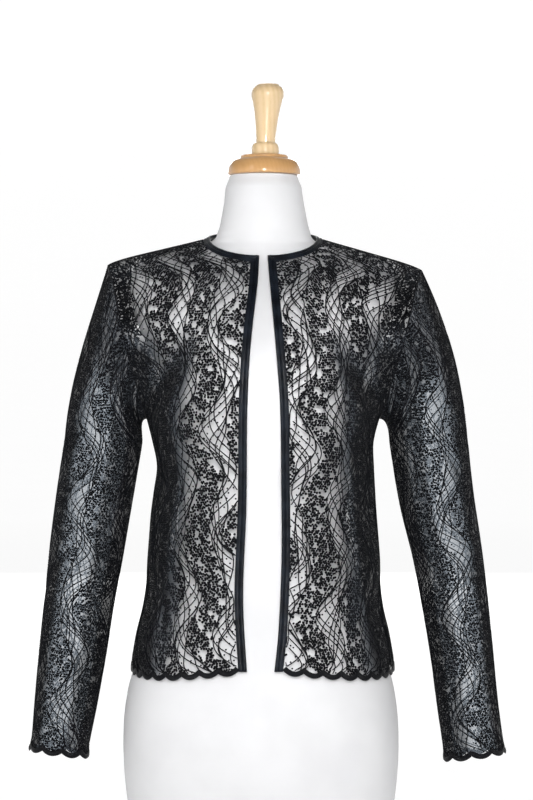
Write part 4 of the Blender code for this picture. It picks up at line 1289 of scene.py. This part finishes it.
LOOP_HEIGHT = 0.0009


# %% Form
def jersey_finish(name):
    """White jersey: fine ribs of loops, a soft nap, and a faint unevenness where it is stretched."""
    finish = Finish(name, Roughness=0.92, Specular_IOR_Level=0.2, Sheen_Weight=0.15)
    place = finish.places()
    x, _, z = place.axes()
    patches = finish.start.node("ShaderNodeTexNoise", None, Vector=place, Scale=14.0, Detail=3.0)
    nap = finish.start.node("ShaderNodeTexNoise", None, Vector=place, Scale=900.0, Detail=2.0)
    ribs = (x * (2 * math.pi / RIB_WIDTH)).sin() * (z * (2 * math.pi / LOOP_HEIGHT)).sin() * 0.5 + 0.5
    finish.set("Base Color", patches.ramp(0.3, 0.7).mix(*JERSEY_SHADES))
    finish.bump(ribs * 0.5 + nap * 0.5, 0.25, 0.0003)
    return finish.material


def form_points():
    """Rings of the form: its half width and half depth, times the cosine and the sine raised to 2 / square.
    Near its top the jersey is tucked in under the cap."""
    z = np.unique(np.concatenate([np.linspace(*rows) for rows in FORM_ROWS]))
    value = {key: column(FORM, key)(z)[:, None] for key in FORM if key != "z"}
    turn = 2 * np.pi * np.arange(FORM_SIDES) / FORM_SIDES
    c, s = np.cos(turn), np.sin(turn)
    power = 2 / value["square"]
    tucked = TUCK_DEPTH * ease((z[:, None] - TUCK_FROM_Z) / TUCK_HEIGHT)
    depth = np.where(s > 0, value["back"], value["front"])
    x = value["across"] + (value["half"] - tucked) * np.sign(c) * np.abs(c) ** power
    y = value["middle"] + (depth - tucked) * np.sign(s) * np.abs(s) ** power
    return np.stack([x, y, np.broadcast_to(z[:, None], x.shape)], axis=-1)


points = form_points()
jersey_material = jersey_finish("white_jersey_cloth")
form_faces = tube_faces(*points.shape[:2])
form = put_mesh("jersey_form", points.reshape(-1, 3), form_faces, jersey_material)
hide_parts("form_torso")

# %% [markdown]
# ## Turned wood
#
# The cap, the ring and the finial were turned on a lathe, sanded and varnished. A turned piece is a profile
# of radius against height, carried round its axis. Rounded corners in the profile catch the highlights.


# %% Wood
def wood_finish(name, pale, dark, grain, contrast):
    """Varnished wood: growth rings round a leaning axis, fine dark pores along it, under a clear coat."""
    finish = Finish(name, Roughness=0.36, Coat_Weight=0.80, Coat_Roughness=0.05, Specular_IOR_Level=0.12)
    place = finish.places()
    x, y, z = place.axes()
    wander = finish.start.node("ShaderNodeTexNoise", None, Vector=place, Scale=26.0, Detail=3.0)
    rings = ((x * 0.94 + y * 0.35 + z * 0.10 + wander * 0.006) * (2 * math.pi / grain)).sin() * 0.5 + 0.5
    squeeze = finish.start.node("ShaderNodeMapping", None, i0=place, i3=(900.0, 900.0, 60.0))
    pores = finish.start.node("ShaderNodeTexNoise", None, Vector=squeeze, Scale=1.0, Detail=2.0)
    tone = rings * contrast + wander * 0.55 + pores.ramp(0.55, 0.75) * 0.25
    finish.set("Base Color", tone.ramp(0.15, 1.0).mix(pale, dark))
    finish.set("Roughness", pores * 0.12 + 0.28)
    finish.bump(pores.ramp(0.5, 0.8) * 0.5 + rings * 0.2, 0.15, 0.0002)
    return finish.material


def rounded(profile, steps=6):
    """Fills a profile of radius and height with a smooth curve of cubic pieces through its points."""
    profile = np.array(profile)
    slope = np.gradient(profile, axis=0)
    f = (np.arange(steps) / steps)[None, :, None]
    fine = cubic(profile[:-1, None], profile[1:, None], slope[:-1, None], slope[1:, None], f)
    return np.vstack([fine.reshape(-1, 2), profile[-1:]])


def round_points(radius, z, x=0.0, y=0.0):
    """Rings of a profile carried round an upright axis at x and y."""
    turn = 2 * np.pi * np.arange(TURNED_SIDES) / TURNED_SIDES
    rings = [x + radius[:, None] * np.cos(turn), y + radius[:, None] * np.sin(turn), z[:, None] + 0 * turn]
    return np.stack(rings, axis=-1)


def turned(name, profile, axis, lean, material):
    """The profile carried round an axis that may lean to the left as it rises."""
    radius, z = rounded(profile).T
    points = round_points(radius, z, (axis[0] + lean * (z - z[0]))[:, None], axis[1])
    return put_mesh(name, points.reshape(-1, 3), tube_faces(*points.shape[:2]), material)


TURNED_SIDES = 96
CAP_AXIS = (0.0016, 0.0030)
RING_AXIS = (0.0028, 0.0030)
FINIAL_AXIS = (0.0031, 0.0030)
FINIAL_LEAN = 0.042
CAP_PROFILE = (
    (0.0405, 0.8094), (0.0425, 0.8098), (0.0435, 0.8106), (0.0438, 0.8122), (0.0437, 0.8145),
    (0.0433, 0.8170), (0.0425, 0.8198), (0.0413, 0.8224), (0.0397, 0.8248), (0.0376, 0.8268),
    (0.0350, 0.8282), (0.0320, 0.8291), (0.0294, 0.8296), (0.0290, 0.8305), (0.0289, 0.8321),
    (0.0285, 0.8330), (0.0274, 0.8334), (0.0235, 0.8336),
)
RING_PROFILE = (
    (0.0120, 0.8334), (0.0146, 0.8338), (0.0158, 0.8348), (0.0165, 0.8372), (0.0167, 0.8400),
    (0.0164, 0.8432), (0.0154, 0.8462), (0.0138, 0.8482), (0.0120, 0.8491), (0.0106, 0.8493),
)
FINIAL_PROFILE = (
    (0.0100, 0.8480), (0.0113, 0.8484), (0.0116, 0.8500), (0.0118, 0.8560), (0.0126, 0.8640),
    (0.0138, 0.8750), (0.0152, 0.8850), (0.0168, 0.8935), (0.0181, 0.8990), (0.0191, 0.9030),
    (0.0196, 0.9066), (0.0194, 0.9096), (0.0186, 0.9124), (0.0172, 0.9148), (0.0157, 0.9163),
    (0.0147, 0.9170), (0.0143, 0.9177), (0.0130, 0.9187), (0.0100, 0.9194), (0.0060, 0.9199),
    (0.0010, 0.9200),
)
HONEY = ((0.46, 0.260, 0.105, 1.0), (0.36, 0.185, 0.066, 1.0))
MAPLE = ((0.63, 0.470, 0.285, 1.0), (0.53, 0.375, 0.19, 1.0))
honey = wood_finish("honey_varnished_wood", *HONEY, grain=0.0050, contrast=0.15)
maple = wood_finish("maple_varnished_wood", *MAPLE, grain=0.0062, contrast=0.30)
turned_pieces = {
    "neck_cap": turned("turned_cap", CAP_PROFILE, CAP_AXIS, 0.0, honey),
    "finial_ring": turned("turned_ring", RING_PROFILE, RING_AXIS, 0.0, maple),
    "finial": turned("turned_finial", FINIAL_PROFILE, FINIAL_AXIS, FINIAL_LEAN, maple),
}
for node, piece in turned_pieces.items():
    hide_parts(node)

# %% [markdown]
# ## What is what
# Each net stands for its packed wall, and its overcast cord for the imported scallops below it. The sheet call
# also says what the piece was cut to before it was sewn and hung.


# %% Cloth pieces and the nodes they stand for
def declare(name, hem_node):
    """Hides the imported wall and hem scallops that a net and its cord stand for, and measures the net's area,
    which nothing uses.
    """
    area = sum(polygon.area for polygon in nets[name].data.polygons)
    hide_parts(name)
    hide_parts(hem_node)
    area = round(area, 4)


for side in (RIGHT, LEFT):
    name = SIDE_NAMES[side]
    declare(f"front_{name}", f"hem_scallops_front_{name}")
    declare(f"sleeve_{name}", f"cuff_scallops_{name}")
    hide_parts(f"binding_front_{name}")
declare("back", "hem_scallops_back")
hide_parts("binding_neck")

# %% [markdown]
# ## Floor, backdrop and light
#
# The photograph is a plain studio shot: a white floor that runs up into a white wall, and soft lights. The
# backdrop is one surface, so that no line shows where it turns up, and it stands well behind and round the
# form. A narrow lamp and a tall strip in front make the open strip of the form nearly white, and with the
# painted sheen of the sleeve nets they leave a streak down the sleeves. A large lamp behind lights the back.


# %% Floor and light
WHITE = (1.0, 1.0, 1.0, 1.0)
FLOOR_RADIUS = 7.5
BEND_RADIUS = 3.0
WALL_TOP = 4.2


def backdrop_finish(name):
    """Matt white paper with a barely visible grain, made to glow, as a studio lights its background."""
    finish = Finish(name, Roughness=1.0, Specular_IOR_Level=0.0, Emission_Color=WHITE, Emission_Strength=0.86)
    grain = finish.start.node("ShaderNodeTexNoise", None, Vector=finish.places(), Scale=3.0, Detail=2.0)
    finish.set("Base Color", grain.mix((0.24, 0.24, 0.24, 1.0), (0.26, 0.26, 0.26, 1.0)))
    return finish.material


def backdrop():
    """A wide flat disc that turns up at its edge in a quarter circle, and then goes straight up."""
    bend = np.linspace(0, np.pi / 2, 33)[1:]
    radius = np.concatenate([[0.0, 4.0, FLOOR_RADIUS], FLOOR_RADIUS + BEND_RADIUS * np.sin(bend)])
    radius = np.append(radius, FLOOR_RADIUS + BEND_RADIUS)
    height = np.concatenate([[0.0, 0.0, 0.0], BEND_RADIUS * (1 - np.cos(bend)), [WALL_TOP]])
    points = round_points(radius, height)
    faces = grid_faces(*points.shape[:2], around=True)[:, ::-1]
    mesh = bpy.data.meshes.new("studio_backdrop")
    mesh.from_pydata(points.reshape(-1, 3).tolist(), [], faces.tolist())
    mesh.materials.append(backdrop_finish("white_backdrop_paper"))
    made = bpy.data.objects.new("studio_backdrop", mesh)
    bpy.context.scene.collection.objects.link(made)


def area_light(name, place, look_at, size, power, spread=180.0):
    """A soft lamp that the camera doesn't see; a small spread, in degrees, keeps its light to a beam."""
    data = bpy.data.lights.new(name, "AREA")
    data.shape = "RECTANGLE"
    data.size, data.size_y = size
    data.energy = power
    data.spread = math.radians(spread)
    light = bpy.data.objects.new(name, data)
    light.visible_camera = False
    light.location = place
    toward = mathutils.Vector(look_at) - mathutils.Vector(place)
    light.rotation_euler = toward.to_track_quat("-Z", "Y").to_euler()
    bpy.context.scene.collection.objects.link(light)


backdrop()
bpy.context.scene.view_settings.view_transform = "Standard"
world = bpy.data.worlds.new("studio_white")
world.use_nodes = True
world.node_tree.nodes["Background"].inputs["Color"].default_value = WHITE
world.node_tree.nodes["Background"].inputs["Strength"].default_value = 0.20
bpy.context.scene.world = world
area_light("front_softbox", (0.0, -3.4, 0.90), (0.0, 0.0, 0.46), size=(0.4, 0.4), power=2.0, spread=21.0)
area_light("front_strip", (0.10, -3.5, 0.75), (0.0, 0.0, 0.55), size=(0.5, 1.8), power=38.0)
area_light("key_left", (-2.4, -2.6, 2.0), (0.0, 0.0, 0.5), size=(0.8, 1.8), power=12.0)
area_light("fill_right", (2.6, -2.2, 1.4), (0.0, 0.0, 0.5), size=(1.8, 1.8), power=6.0)
area_light("top_back", (0.0, 2.2, 2.8), (0.0, 0.0, 0.6), size=(2.0, 2.0), power=8.0)
area_light("back_softbox", (0.0, 4.2, 1.1), (0.0, 0.0, 0.5), size=(1.0, 1.6), power=85.0)
